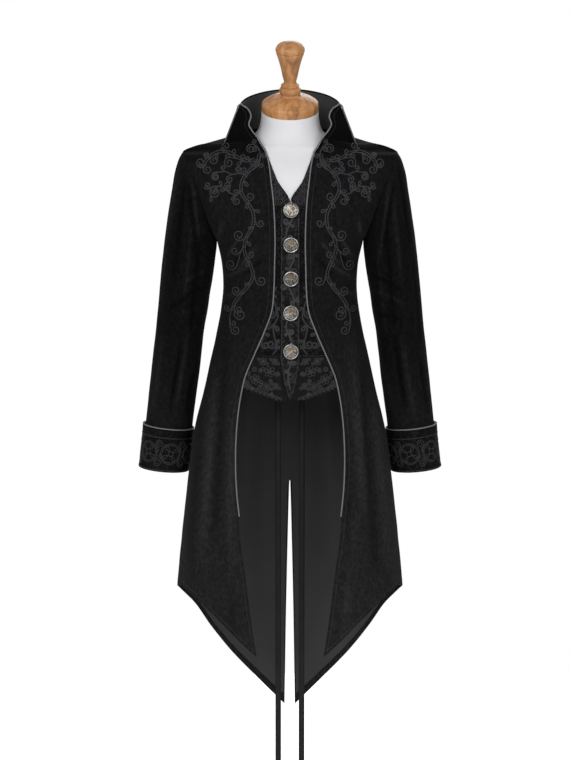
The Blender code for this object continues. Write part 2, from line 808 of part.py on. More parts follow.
def make_fronts():
    points = front_grid()
    pull_in(points, "end", SEAM)
    normals = grid_normals(points, False)
    last_wing = len(WING) - 1
    shoulder = len(WING) + SHOULDER_STEPS - 1
    underarm = shoulder + ARMHOLE_STEPS + 1
    for i, line in enumerate(normals):
        if i <= last_wing:
            across = WING_SEAM_SIDE
        elif i < shoulder:
            across = Vector((0, 1, 0))
        elif i <= underarm:
            across = armhole_side()
        else:
            across = Vector((0, 1, 0))
        line[-1] = keep_to_seam(line[-1], across)
    for i in (last_wing, shoulder, underarm):
        normals[i][-1] = keep_to_seam(normals[i][-1], Vector((0, 1, 0)))
    both_sides("front", points, 0.0, VELVET, "velvet", normals)
    return points, normals


def make_backs():
    points = back_grid()
    pull_in(points, "end", SEAM)
    pull_in(points, "top", SEAM)
    normals = grid_normals(points, False)
    shoulder = SHOULDER_STEPS
    underarm = shoulder + ARMHOLE_STEPS + 1
    for i, line in enumerate(normals):
        if shoulder <= i <= underarm:
            line[-1] = keep_to_seam(line[-1], armhole_side())
        if i <= shoulder or i >= underarm:
            line[-1] = keep_to_seam(line[-1], Vector((0, -1, 0)))
        line[0] = keep_to_seam(line[0], Vector((-1, 0, 0)))
    both_sides("back", points, 0.0, VELVET, "velvet", normals)
    return points, normals


def make_tail_linings(points, normals):
    """Satin inside the tails, which leaves a velvet facing along the hem and the slit."""
    kept = [i for i, row in enumerate(points) if row[0].z < TAIL_LINING_TOP_Z]
    lining = [list(points[i]) for i in kept]
    inside = [list(normals[i]) for i in kept]
    pull_in(lining, "bottom", TAIL_HEM_FACING)
    slit_rows = [row for row in lining if row[0].z < FAN_Z]
    for row in slit_rows:
        row[0] = row[0] + (row[1] - row[0]).normalized() * TAIL_SLIT_FACING
    pull_in(lining, "end", LAYER_GAP)
    both_sides("tail_lining", lining, VELVET + LINING_GAP, VELVET + LINING_GAP + SATIN, "satin", inside)


def make_collar():
    points = collar_grid()
    pull_in(points, "start", SEAM)
    pull_in(points, "end", SEAM)
    pull_in(points, "top", PIPING_RADIUS)
    normals = grid_normals(points, False)
    for line in normals:
        line[0] = keep_to_seam(line[0], -WING_SEAM_SIDE)
        across = Vector((WING_SEAM_SIDE.x, -WING_SEAM_SIDE.y, -WING_SEAM_SIDE.z))
        line[-1] = keep_to_seam(line[-1], across)
    normals[-1] = [keep_to_seam(n, Vector((0, 0, -1))) for n in normals[-1]]
    wall("collar", points, 0.0, VELVET, "velvet", normals)
    lining = [list(row) for row in points]
    for edge in ("start", "end", "top", "bottom"):
        pull_in(lining, edge, LINING_INSET)
    wall("collar_lining", lining, VELVET + LINING_GAP, VELVET + LINING_GAP + SATIN, "satin", normals)


def make_sleeves():
    rings = [ring_points(ring, ARMHOLE_SIDES) for ring in SLEEVE]
    step = armhole_side() * SEAM
    rings[0] = [p + step for p in rings[0]]
    normals = grid_normals(rings, True)
    middle = sum(rings[0], Vector()) / ARMHOLE_SIDES
    normals[0] = [(p - middle).normalized() for p in rings[0]]
    both_sides("sleeve", rings, 0.0, VELVET, "velvet", normals, closed=True)


def make_cuffs():
    rings = [ring_points(ring, ARMHOLE_SIDES) for ring in CUFF]
    both_sides("cuff", rings, 0.0, VELVET, "brocade", closed=True)
    normals = grid_normals(rings, True)
    lift = Vector((0, 0, PIPING_RADIUS + LAYER_GAP))
    path = [p - n * (VELVET / 2) + lift for p, n in zip(rings[0], normals[0])]
    tube("cuff_piping_left", path, closed=True)
    tube("cuff_piping_right", [Vector((-p.x, p.y, p.z)) for p in path], closed=True)


def tube(name, path, closed=False):
    """A round cord along a path, with flat ends where it isn't closed."""
    count = len(path)
    rings = []
    side = None
    for i, point in enumerate(path):
        if closed:
            along = path[(i + 1) % count] - path[i - 1]
        else:
            along = path[min(i + 1, count - 1)] - path[max(i - 1, 0)]
        along.normalize()
        if side is None:
            side = along.orthogonal()
        side = (side - along * side.dot(along)).normalized()
        up = along.cross(side)
        ring = []
        for k in range(PIPING_SIDES):
            angle = 2 * math.pi * k / PIPING_SIDES
            ring.append(point + (side * math.cos(angle) + up * math.sin(angle)) * PIPING_RADIUS)
        rings.append(ring)
    points = [p for ring in rings for p in ring]
    faces = []
    for i in range(count if closed else count - 1):
        low = i * PIPING_SIDES
        high = ((i + 1) % count) * PIPING_SIDES
        for k in range(PIPING_SIDES):
            after = (k + 1) % PIPING_SIDES
            faces.append((low + k, low + after, high + after, high + k))
    if not closed:
        faces.append(tuple(range(PIPING_SIDES)))
        faces.append(tuple(range((count - 1) * PIPING_SIDES, count * PIPING_SIDES)))
    solid(name, points, faces, "piping")


def make_pipings(points, normals):
    """Cord up the front edge, round the wing's tip and down its outer seam."""
    clear = PIPING_RADIUS + PIPING_GAP
    path = []
    last = max(i for i, row in enumerate(points) if row[0].z > PIPING_END_Z)
    for i in range(last, -1, -1):
        row = points[i]
        edge = (points[max(i - 1, 0)][0] - points[i + 1][0]).normalized()
        outwards = row[0] - row[1]
        outwards = (outwards - edge * outwards.dot(edge)).normalized()
        path.append(row[0] - normals[i][0] * PIPING_DEPTH + outwards * clear)
    tip = (points[0][0] + points[0][-1]) / 2
    path.append(tip - normals[0][0] * PIPING_DEPTH + WING_SEAM_WAY * (clear + TIP_CLEARANCE))
    for i in range(len(WING)):
        face = normals[i][-2]
        ridge = face + WING_SEAM_SIDE * (1 - face.dot(WING_SEAM_SIDE))
        ridge = (ridge - WING_SEAM_WAY * ridge.dot(WING_SEAM_WAY)).normalized()
        path.append(points[i][-1] + ridge * clear)
    path[-1] = path[-1] + WING_SEAM_WAY * PIPING_STOP
    tube("piping_left", path)
    tube("piping_right", [Vector((-p.x, p.y, p.z)) for p in path])


def make_waistcoat():
    yoke = yoke_grid()
    pull_in(yoke, "bottom", SEAM)
    both_sides("waistcoat_yoke", yoke, VEST_DEPTH, VEST_DEPTH + VEST_CLOTH, "brocade")
    band = []
    band_normals = []
    for left in (True, False):
        name = "left" if left else "right"
        upper = vest_grid(left)
        pull_in(upper, "top", SEAM)
        lower = hip_grid(left)
        if not left:
            upper = mirrored(upper)
            lower = mirrored(lower)
        upper_normals = grid_normals(upper, False)
        lower_normals = grid_normals(lower, False)
        depth = VEST_DEPTH + VEST_CLOTH
        wall("waistcoat_" + name, upper, VEST_DEPTH, depth, "brocade", upper_normals)
        wall("waistcoat_hip_" + name, lower, VEST_DEPTH, depth, "lace", lower_normals)
        if left:
            for row, line in zip(upper + lower[1:], upper_normals + lower_normals[1:]):
                if row[0].x < 0:
                    band.append(row[:4])
                    band_normals.append(line[:4])
    inner = VEST_DEPTH - LAYER_GAP
    wall("placket", band, inner - BAND_CLOTH, inner, "brocade", band_normals)
    return inner - BAND_CLOTH


def turned(name, profile, sides, finish, matrix, cog=None):
    """A turned solid; a profile starts and ends on the axis, or runs round a ring."""
    points = []
    rings = []
    for row in profile:
        if row.radius == 0.0:
            rings.append([len(points)])
            points.append(Vector((0, 0, row.height)))
            continue
        ring = []
        for k in range(sides):
            angle = 2 * math.pi * (k + 0.5) / sides
            ring.append(len(points))
            points.append(Vector((row.radius * math.cos(angle), row.radius * math.sin(angle), row.height)))
        rings.append(ring)
    faces = []
    for low, high in zip(rings, rings[1:]):
        for k in range(sides):
            after = (k + 1) % sides
            if len(low) == 1:
                faces.append((low[0], high[after], high[k]))
            elif len(high) == 1:
                faces.append((low[k], low[after], high[0]))
            else:
                faces.append((low[k], low[after], high[after], high[k]))
    made = solid(name, [matrix @ p for p in points], faces, finish)
    if cog:
        ring, segment, length = cog
        extrude_face(made, [rings[ring][segment], rings[ring][(segment + 1) % sides],
                            rings[ring + 1][(segment + 1) % sides], rings[ring + 1][segment]], length)
    return made


def extrude_face(made, corners, length):
    """Pulls one face of a solid out along its normal, as the crown of a watch case."""
    edit = bmesh.new()
    edit.from_mesh(made.data)
    edit.verts.ensure_lookup_table()
    wanted = {edit.verts[i] for i in corners}
    face = next(f for f in edit.faces if set(f.verts) == wanted)
    way = face.normal.copy()
    result = bmesh.ops.extrude_face_region(edit, geom=[face])
    moved = [item for item in result["geom"] if isinstance(item, bmesh.types.BMVert)]
    bmesh.ops.translate(edit, verts=moved, vec=way * length)
    bmesh.ops.delete(edit, geom=[face], context="FACES_ONLY")
    edit.to_mesh(made.data)
    edit.free()


def button_matrix(z, band_depth):
    """Place of a button: its axis is the cloth's normal, and it stands just off the band."""
    slope = (coat(z + 0.01, 0.0).y - coat(z - 0.01, 0.0).y) / 0.02
    axis = Vector((0, -1, slope)).normalized()
    upwards = Vector((0, axis.z, -axis.y)).normalized()
    across = upwards.cross(axis)
    place = on_front(z, BUTTON_X) - axis * (band_depth - BUTTON_GAP)
    turn = Matrix((across, upwards, axis)).transposed().to_4x4()
    return Matrix.Translation(place) @ turn


def make_buttons(band_depth):
    floor = BUTTON_PROFILE[-1].height + REST_GAP
    quarter_turn = BUTTON_SIDES // 4
    for number, z in enumerate(BUTTON_HEIGHTS, 1):
        place = button_matrix(z, band_depth)
        turned(f"button_{number}", BUTTON_PROFILE, BUTTON_SIDES, "case", place,
               cog=(CROWN_RING, quarter_turn - 1, CROWN_LENGTH))
        make_movement(f"movement_{number}", place @ Matrix.Translation((0, 0, floor)))


def make_movement(name, place):
    """A round plate with wheels and a bridge standing on it, as one solid."""
    plate = [Turned(0, 0), Turned(PLATE_RADIUS, 0), Turned(PLATE_RADIUS, PLATE_RISE), Turned(0, PLATE_RISE)]
    made = turned(name, plate, BUTTON_SIDES, "clockwork", place)
    for number, wheel in enumerate(WHEELS):
        top = wheel.rise + WHEEL_SINK
        disc = [Turned(0, 0), Turned(wheel.radius, 0), Turned(wheel.radius, top), Turned(0, top)]
        move = Matrix.Translation((wheel.x, wheel.y, PLATE_RISE - WHEEL_SINK))
        tool = turned(f"{name}_wheel_{number}", disc, WHEEL_SIDES, "clockwork", place @ move)
        join(made, tool)
    corners = [Vector((x, y, z)) for z in (-0.5, 0.5) for y in (-0.5, 0.5) for x in (-0.5, 0.5)]
    size = BRIDGE_SIZE
    points = [place @ (BRIDGE_PLACE + Vector((c.x * size.x, c.y * size.y, c.z * size.z))) for c in corners]
    faces = [(0, 1, 3, 2), (4, 6, 7, 5), (0, 4, 5, 1), (2, 3, 7, 6), (0, 2, 6, 4), (1, 5, 7, 3)]
    join(made, solid(name + "_bridge", points, faces, "clockwork", smooth=False))


def join(made, tool):
    """Adds a tool to a solid; the tool itself stays out of the model."""
    tool.hide_render = True
    tool.display_type = "WIRE"
    union = made.modifiers.new("join", "BOOLEAN")
    union.operation = "UNION"
    union.object = tool


def make_form():
    rings = form_rings()
    sides = len(rings[0])
    points = [p for ring in rings for p in ring]
    faces = [tuple(range(sides)), tuple(range(len(points) - sides, len(points)))]
    for i in range(len(rings) - 1):
        low = i * sides
        high = low + sides
        for k in range(sides):
            after = (k + 1) % sides
            faces.append((low + k, low + after, high + after))
            faces.append((low + k, high + after, high + k))
    solid("form_torso", points, faces, "jersey")
    tilt = Matrix.Rotation(math.radians(NECK_TILT), 4, "X")
    turned("neck_cap", CAP_PROFILE, CAP_SIDES, "wood",
           Matrix.Translation(CAP_CENTRE + tilt @ Vector((0, 0, REST_GAP))) @ tilt)
    low_ring = rings[0]
    middle = sum(low_ring, Vector()) / sides
    outline = [middle + (p - middle) * PLATE_SHARE for p in low_ring]
    top = [p - Vector((0, 0, REST_GAP)) for p in outline]
    bottom = [p - Vector((0, 0, PLATE_THICKNESS)) for p in top]
    faces = [tuple(range(sides)), tuple(range(sides, 2 * sides))]
    faces += [(k, (k + 1) % sides, sides + (k + 1) % sides, sides + k) for k in range(sides)]
    solid("form_plate", top + bottom, faces, "steel")
    return bottom[0].z


def make_stand(plate_z):
    turned("stand_base", BASE_PROFILE, BASE_SIDES, "steel", Matrix())
    low = HUB_HEIGHT + REST_GAP
    high = plate_z - REST_GAP
    rod = [Turned(0, low), Turned(ROD_RADIUS, low), Turned(ROD_RADIUS, high), Turned(0, high)]
    for name, x in (("stand_rod_left", ROD_X), ("stand_rod_right", -ROD_X)):
        turned(name, rod, ROD_SIDES, "steel", Matrix.Translation((x, 0, 0)))


def main():
    for item in list(bpy.data.objects):
        bpy.data.objects.remove(item, do_unlink=True)
    front_points, front_normals = make_fronts()
    back_points, back_normals = make_backs()
    make_tail_linings(back_points, back_normals)
    make_collar()
    make_sleeves()
    make_cuffs()
    make_pipings(front_points, front_normals)
    band_depth = make_waistcoat()
    make_buttons(band_depth)
    plate_z = make_form()
    make_stand(plate_z)


main()
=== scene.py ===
"""Looks of a velvet tailcoat with a sewn-in waistcoat front, on a limbless dress form.

The coat's curve, the edges and the grids repeat the values of the CAD source. Every cloth is a
thin wall on a finer grid through the same points, with soft folds placed one by one.
"""
import math
from collections import namedtuple

import bmesh
import bpy
import numpy as np
from mathutils import Matrix, Vector, noise
from mathutils.bvhtree import BVHTree


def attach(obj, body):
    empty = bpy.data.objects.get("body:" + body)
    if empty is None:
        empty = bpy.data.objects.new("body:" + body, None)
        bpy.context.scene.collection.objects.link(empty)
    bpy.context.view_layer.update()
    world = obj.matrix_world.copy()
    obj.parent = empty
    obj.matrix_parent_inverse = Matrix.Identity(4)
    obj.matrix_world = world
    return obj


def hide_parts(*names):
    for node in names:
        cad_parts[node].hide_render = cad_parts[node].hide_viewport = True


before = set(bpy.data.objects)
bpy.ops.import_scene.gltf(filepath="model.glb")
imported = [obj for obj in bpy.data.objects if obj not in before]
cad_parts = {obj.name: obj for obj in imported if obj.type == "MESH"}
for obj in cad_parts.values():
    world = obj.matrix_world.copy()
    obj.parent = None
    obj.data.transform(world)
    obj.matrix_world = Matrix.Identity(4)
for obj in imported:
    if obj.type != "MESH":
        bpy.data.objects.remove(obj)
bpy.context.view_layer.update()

# Cloth thicknesses, and the layers under the coat's outer face
VELVET = 0.002
SATIN = 0.001
VEST_CLOTH = 0.0015
VEST_DEPTH = 0.0027
BAND_CLOTH = 0.0012
LAYER_GAP = 0.0003
LINING_GAP = 0.0005
SEAM = 0.00022

# Heights of the garment
SHOULDER_Z = 1.48
UNDERARM_Z = 1.303
ARMHOLE_MIDDLE_Z = (SHOULDER_Z + UNDERARM_Z) / 2
ARMHOLE_HALF = (SHOULDER_Z - UNDERARM_Z) / 2
FAN_Z = 0.82
FRONT_CORNER_Z = 0.48
SIDE_HEM_Z = 0.606
TAIL_TIP_Z = 0.304

# Half widths and shape of the coat's closed curve
FULLNESS = 0.56
SHOULDER_X = 0.212
UNDERARM_X = 0.146
ARMHOLE_DEPTH = 0.057
SHOULDER_CROWN = Vector((0.0, 0.002, 0.007))
SHOULDER_STEPS = 3
SHOULDER_LEAN = math.radians(25)
SIDE_LEAN = math.radians(90)
FOLD_DEPTH = 0.016
FOLD_TOP_Z = 0.98
FOLD_LENGTH = 0.4
FOLDS_A_QUARTER = 2
SEAM_TURN_WAIST = 1.0
SEAM_TURN_HEM = 0.86
TAIL_RISE = 1.42
FRONT_RISE = 1.5

# Grid of the panels
PANEL_COLUMNS = 7
ARMHOLE_STEPS = 8
BODY_ROWS = 11
FRONT_FAN_ROWS = 6
TAIL_FAN_ROWS = 7
SHARES = [k / PANEL_COLUMNS for k in range(PANEL_COLUMNS + 1)]

# Neckline, collar and wing
SEAM_BASE = Vector((0.129, -0.011, 1.494))
WING_TIP = Vector((0.0985, -0.048, 1.57))
NECK_BACK = Vector((0.0, 0.1, 1.525))
COLLAR_BACK = Vector((0.0, 0.095, 1.606))
NECK_WIDENING = 0.006
NECK_RISE = 0.8
WING_BULGE = Vector((0.0015, -0.0035, 0.0))
WING_SEAM_WAY = (WING_TIP - SEAM_BASE).normalized()
WING_SEAM_SIDE = WING_SEAM_WAY.cross(Vector((0.66, 0.75, 0.0)).cross(WING_SEAM_WAY)).normalized()
COLLAR_COLUMNS = 18
COLLAR_ROWS = 4
LINING_INSET = 0.003

# Trim
PIPING_RADIUS = 0.0015
PIPING_DEPTH = 0.0007
PIPING_GAP = 0.0005
PIPING_STOP = 0.0035
TIP_CLEARANCE = 0.0016
PIPING_END_Z = 0.74
TAIL_HEM_FACING = 0.012
TAIL_SLIT_FACING = 0.008
TAIL_LINING_TOP_Z = 1.09

# Waistcoat
LAP_HALF = 0.0187
LAP_TOP_Z = 1.376
LAP_TAPER_Z = 1.072
LAP_END_Z = 0.999
LAP_TIP_HALF = 0.0015
LAP_POINTEDNESS = 0.6
V_POINT_Z = 1.384
HIP_SEAM_Z = UNDERARM_Z - 5 * (UNDERARM_Z - FAN_Z) / BODY_ROWS
HIP_HEM_SIDE_Z = 1.016
HIP_ROWS = 4
VEST_UNDER_COAT = 3
YOKE_COLUMNS = 5
BUTTON_HEIGHTS = (1.367, 1.301, 1.235, 1.167, 1.092)
BUTTON_X = 0.0015

# Dress form and stand
FORM_INSET = 0.0068
FORM_COLUMNS = 6
FORM_SIDE_TURNS = (0.95, 1.05)
FORM_HEIGHTS = (1.035, 1.075, 1.115, 1.155, 1.195, 1.235, 1.27, 1.303,
                1.335, 1.37, 1.405, 1.438, 1.458, 1.468)
FORM_RIDGE_HALF = 0.004
NECK_TILT = 20.0
CAP_CENTRE = Vector((0.0, -0.012, 1.56))
REST_GAP = 0.0003
BUTTON_GAP = 0.0005


def table(columns, *rows):
    """Rows of named values, given in thousandths: lengths in millimetres and shares."""
    kind = namedtuple("Row", columns)
    return [kind(*(length / 1000 for length in row)) for row in rows]


SECTIONS = table(
    "z side front back",
    (1480, 212, 80, 98), (1454, 202, 94, 106), (1425, 191, 105, 112), (1391, 179, 115, 115),
    (1358, 166, 122, 116), (1329, 156, 125, 114), (1303, 146, 125, 111), (1278, 140.5, 123, 107),
    (1254, 135.5, 119, 103), (1230, 133.5, 115, 100), (1206, 134, 112, 99), (1181, 136, 112, 101),
    (1157, 140, 113, 105), (1109, 149, 116, 114), (1060, 161, 119, 123), (1012, 171, 121, 131),
    (963, 184, 123, 137), (914, 195, 124, 142), (815, 207.5, 125, 149), (691, 221, 125, 155),
    (604, 229, 124, 158), (480, 236, 122, 161), (300, 242, 120, 163))

FRONT_EDGE = table(
    "z x",
    (1480, 49.3), (1463, 44.5), (1431, 40.2), (1396, 35.7), (1357, 32.8), (1320, 31.6), (1284, 31.6),
    (1240, 33.2), (1197, 34.6), (1160, 40.5), (1135, 50.5), (1105, 64), (1072, 77.5), (1039, 91),
    (1024, 96.5), (995, 100.5), (958, 105.5), (921, 108.5), (885, 109.5), (835, 109.3), (775, 103.5),
    (722, 99.3), (636, 87.5), (583, 81.3), (545, 76.5), (512, 71.5), (480, 66.5))

V_EDGE = table(
    "z x",
    (1480, 45.6), (1462.5, 39.5), (1443, 31.8), (1424, 24), (1410.5, 18.2), (1397, 10.5), (1384, 0.4))

SLIT_EDGE = table(
    "z x",
    (820, 0.3), (800, 1), (640, 5), (500, 8), (304, 11))

HIP_HEM = table(
    "x z",
    (200, 1038), (150, 1030), (96, 1016), (66, 1007), (19, 991), (12, 990), (0, 999))

# The wing's free front edge, from the tip down, and where each row ends on the outer seam, in thousandths
WING = table(
    "x y z seam",
    (95, -51.5, 1568.8, 985), (85, -56, 1562, 860), (78.5, -60, 1549, 660), (82.5, -63, 1532, 440),
    (75.5, -66, 1518.5, 220), (65, -69, 1505.5, 0))

# Rings of a sleeve: the inner point, the outer point, the half depth and the middle's y
RING = "in_x in_z out_x out_z half y"
SLEEVE = table(
    RING,
    (146, 1303, 212, 1480, 57, 0), (146, 1297.5, 219.5, 1468, 60, 0), (146.4, 1290.5, 227.5, 1445, 63, 0),
    (147.5, 1280, 235.5, 1402, 65, 1), (149.5, 1266, 243.5, 1355, 65.5, 3),
    (152.5, 1245, 250.5, 1306, 65, 6), (156.5, 1220, 257, 1254, 64, 10), (161, 1195, 262, 1206, 63, 14),
    (166, 1160, 266.5, 1161, 61, 18), (172.5, 1125, 270.5, 1125, 60, 22), (179, 1075, 277, 1075, 59, 28),
    (185, 1025, 283, 1025, 57, 34), (191.5, 980, 288.5, 980, 55, 40), (197.5, 935, 293.5, 937, 53, 45),
    (203.5, 885, 299.5, 890, 52.5, 48), (210.5, 831, 307, 841, 52.5, 50))
CUFF = table(
    RING,
    (195.5, 915, 300.5, 926.5, 57.5, 47.5), (198.5, 890, 302.5, 901, 57, 48),
    (203, 858, 306, 868, 56.5, 49), (207.3, 829, 310.2, 839, 55.8, 50))

# Rings of the form's shoulders and neck; lean pinches the ring's ends into the shoulder ridge
FormRing = namedtuple("FormRing", "z half front back y lean tilt")
FORM_TOP = [
    FormRing(1.4875, 0.165, 0.074, 0.084, 0.002, 24, 0),
    FormRing(1.4925, 0.132, 0.071, 0.078, 0.001, 30, 1),
    FormRing(1.5, 0.094, 0.068, 0.072, 0.0, 60, 4),
    FormRing(1.518, 0.066, 0.062, 0.062, -0.003, 90, 11),
    FormRing(1.54, 0.0575, 0.057, 0.057, -0.008, 90, 17),
    FormRing(1.5597, 0.0558, 0.0558, 0.0558, -0.012, 90, 20),
]

CAP_PROFILE = table(
    "radius height",
    (0, 0), (56, 0), (56.6, 7), (55.6, 15), (49, 20.5), (34.5, 28), (20, 34.5), (21.4, 40), (20.2, 46),
    (16.8, 48.5), (18.2, 52.2), (13.2, 56), (15.2, 71.5), (20.6, 96), (24.2, 108.5), (27, 118.4),
    (26.8, 119.3), (27.9, 120.1), (28.6, 124), (27.7, 128.2), (23.8, 133.6), (15, 138.5), (0, 141.5))


def hermite(t, start, bend_start, end, bend_end):
    """Smooth value between two ends, by the slopes at them."""
    return (start * (2 * t**3 - 3 * t**2 + 1) + bend_start * (t**3 - 2 * t**2 + t)
            + end * (3 * t**2 - 2 * t**3) + bend_end * (t**3 - t**2))


def follow(rows, key, column, where):
    """Smooth value of a column where the key has this value; the key falls from row to row."""
    keys = [getattr(row, key) for row in rows]
    values = [getattr(row, column) for row in rows]
    if where >= keys[0]:
        return values[0]
    if where <= keys[-1]:
        return values[-1]
    low = next(i for i in range(1, len(keys)) if keys[i] <= where)
    high = low - 1
    width = keys[high] - keys[low]

    def slope(i):
        before = max(i - 1, 0)
        after = min(i + 1, len(keys) - 1)
        return (values[before] - values[after]) / (keys[before] - keys[after])

    return hermite((where - keys[low]) / width, values[low], slope(low) * width,
                   values[high], slope(high) * width)


def bezier(points, t):
    """Point of a cubic Bezier curve."""
    s = 1 - t
    a, b, c, d = points
    return a * s**3 + b * (3 * s * s * t) + c * (3 * s * t * t) + d * t**3


def armhole_angle(z):
    """Angle round the armhole at a height: 0 at the underarm, pi at the shoulder point."""
    return math.acos(max(-1.0, min(1.0, (ARMHOLE_MIDDLE_Z - z) / ARMHOLE_HALF)))


def quarter(half, depth, edge_depth, lean):
    """Control points of a quarter of the closed curve, from its middle to its side."""
    reach = FULLNESS * (depth - edge_depth)
    return (Vector((0, depth)), Vector((FULLNESS * half, depth)),
            Vector((half - reach * math.cos(lean), edge_depth + reach * math.sin(lean))),
            Vector((half, edge_depth)))


def coat(z, turn, behind=None):
    """Point of the coat's outer face, on the wearer's left."""
    if behind is None:
        behind = turn > 1
    share = 2 - turn if turn > 1 else turn
    depth = follow(SECTIONS, "z", "back" if behind else "front", z)
    if z < UNDERARM_Z:
        half = follow(SECTIONS, "z", "side", z)
        edge_depth = 0.0
        lean = SIDE_LEAN
    else:
        angle = armhole_angle(z)
        half = (SHOULDER_X + UNDERARM_X) / 2 - (SHOULDER_X - UNDERARM_X) / 2 * math.cos(angle)
        edge_depth = ARMHOLE_DEPTH * math.sin(angle)
        lean = SIDE_LEAN + (SHOULDER_LEAN - SIDE_LEAN) * angle / math.pi
    x, out = bezier(quarter(half, depth, edge_depth, lean), share)
    fall = max(0.0, min(1.0, (FOLD_TOP_Z - z) / FOLD_LENGTH))
    fold = 1 + FOLD_DEPTH * fall * math.sin(2 * math.pi * FOLDS_A_QUARTER * turn)
    return Vector((x * fold, (out if behind else -out) * fold, z))


def turn_at(z, x, behind=False):
    """The turn where the coat's outer face is this far from the middle."""
    low, high = (1.0, 2.0) if behind else (0.0, 1.0)
    for _ in range(40):
        middle = (low + high) / 2
        if (coat(z, middle, behind).x < x) != behind:
            low = middle
        else:
            high = middle
    return (low + high) / 2


def on_front(z, x):
    """Point of the coat's outer face in front, at a signed distance from the middle."""
    point = coat(z, turn_at(z, abs(x)))
    return Vector((math.copysign(point.x, x), point.y, point.z))


def side_seam(z):
    """Turn of the side seam, which runs a little to the front of the widest place."""
    share = (UNDERARM_Z - z) / (UNDERARM_Z - SIDE_HEM_Z)
    share = max(0.0, min(1.0, share))
    return SEAM_TURN_WAIST + (SEAM_TURN_HEM - SEAM_TURN_WAIST) * share


def hem_rise(share, steepness):
    """How far a slanting hem has risen: straight at first, then level near the side seam."""
    def climb(t):
        return steepness * t / (1 + (steepness * t)**6)**(1 / 6)
    return climb(share) / climb(1.0)


def body_heights():
    """Heights of the level rows, from the shoulder point down to where the skirt's rows fan out."""
    chest = [ARMHOLE_MIDDLE_Z + ARMHOLE_HALF * math.cos(math.pi * k / ARMHOLE_STEPS)
             for k in range(ARMHOLE_STEPS + 1)]
    chest[ARMHOLE_STEPS // 2:ARMHOLE_STEPS // 2 + 1] = [V_POINT_Z, LAP_TOP_Z]
    step = (UNDERARM_Z - FAN_Z) / BODY_ROWS
    return chest + [UNDERARM_Z - step * k for k in range(1, BODY_ROWS + 1)]


def front_edge_turn(z):
    return turn_at(z, follow(FRONT_EDGE, "z", "x", z))


def slit_turn(z):
    return turn_at(z, follow(SLIT_EDGE, "z", "x", z), behind=True)


def neck_arc(side, back, share, widening=0.0, rise=1.0):
    """Point of a curve round the neck, from the centre back (0) to a point at the wing (1)."""
    angle = share * math.pi / 2
    return Vector((side.x * math.sin(angle) + widening * math.sin(2 * angle),
                   side.y + (back.y - side.y) * math.cos(angle),
                   side.z + (back.z - side.z) * math.cos(angle)**rise))


def neckline(share):
    """Point of the seam between the back and the collar."""
    return neck_arc(SEAM_BASE, NECK_BACK, share, NECK_WIDENING, NECK_RISE)


def collar_top(share):
    """Point of the collar's top edge."""
    return neck_arc(WING_TIP, COLLAR_BACK, share)


def wing_row(row):
    """A row of the wing, from its free edge to the piped outer seam."""
    start = Vector(row[:3])
    end = SEAM_BASE.lerp(WING_TIP, row.seam)
    width = (end - start).length / (SEAM_BASE - Vector(WING[-1][:3])).length
    return [start.lerp(end, s) + WING_BULGE * (4 * s * (1 - s) * width) for s in SHARES]


def shoulder_rows(top, bottom):
    """Rows across a shoulder, which rises between the neck and the sleeve."""
    return [[a.lerp(b, k / SHOULDER_STEPS) + SHOULDER_CROWN * (j / PANEL_COLUMNS)**2
             for j, (a, b) in enumerate(zip(top, bottom))] for k in range(1, SHOULDER_STEPS)]


def panel_row(z, start, end):
    return [coat(z, start + (end - start) * s) for s in SHARES]


def fan_rows(count, corner_z, edge_turn, steepness):
    """Rows of a skirt that fan out, down to its slanting hem."""
    rows = []
    for k in range(1, count + 1):
        inner = FAN_Z + (corner_z - FAN_Z) * k / count
        outer = FAN_Z + (SIDE_HEM_Z - FAN_Z) * k / count
        start = edge_turn(inner)
        end = side_seam(outer)
        rows.append([coat(inner + (outer - inner) * hem_rise(s, steepness), start + (end - start) * s)
                     for s in SHARES])
    return rows


def front_grid():
    """Rows of a front, from the wing's tip to the hem."""
    rows = [wing_row(row) for row in WING]
    level = [panel_row(z, front_edge_turn(z), side_seam(z)) for z in body_heights()]
    return (rows + shoulder_rows(rows[-1], level[0]) + level
            + fan_rows(FRONT_FAN_ROWS, FRONT_CORNER_Z, front_edge_turn, FRONT_RISE))


def back_grid():
    """Rows of a back, from the neckline to the tail's slanting hem; the first column is the slit."""
    level = []
    for z in body_heights():
        start = slit_turn(z)
        if z < UNDERARM_Z - SEAM:
            level.append(panel_row(z, start, side_seam(z)))
        else:
            level.append([coat(z, start + (1 - start) * s, behind=True) for s in SHARES])
    top = [neckline(s) for s in SHARES]
    top[0].x = SEAM
    return ([top] + shoulder_rows(top, level[0]) + level
            + fan_rows(TAIL_FAN_ROWS, TAIL_TIP_Z, slit_turn, TAIL_RISE))


def collar_grid():
    shares = [1 - 2 * k / COLLAR_COLUMNS for k in range(COLLAR_COLUMNS + 1)]
    lift = Vector((0, 0, 2 * SEAM))
    return [[(neckline(s) + lift).lerp(collar_top(s), 1 - k / COLLAR_ROWS) for s in shares]
            for k in range(COLLAR_ROWS + 1)]


def ring_points(ring):
    """Points round a sleeve: the first is the inner one, and the front comes next."""
    inner = Vector((ring.in_x, ring.y, ring.in_z))
    outer = Vector((ring.out_x, ring.y, ring.out_z))
    middle = (inner + outer) / 2
    half = (outer - inner) / 2
    angles = [math.pi * k / ARMHOLE_STEPS for k in range(2 * ARMHOLE_STEPS)]
    return [middle - half * math.cos(a) - Vector((0, ring.half * math.sin(a), 0)) for a in angles]


def lap_half(z):
    """Half width of the buttonhole band, which tapers to a point under the last button."""
    if z >= LAP_TAPER_Z:
        return LAP_HALF
    share = max(0.0, (z - LAP_END_Z) / (LAP_TAPER_Z - LAP_END_Z))
    return max(LAP_TIP_HALF, LAP_HALF * share**LAP_POINTEDNESS)


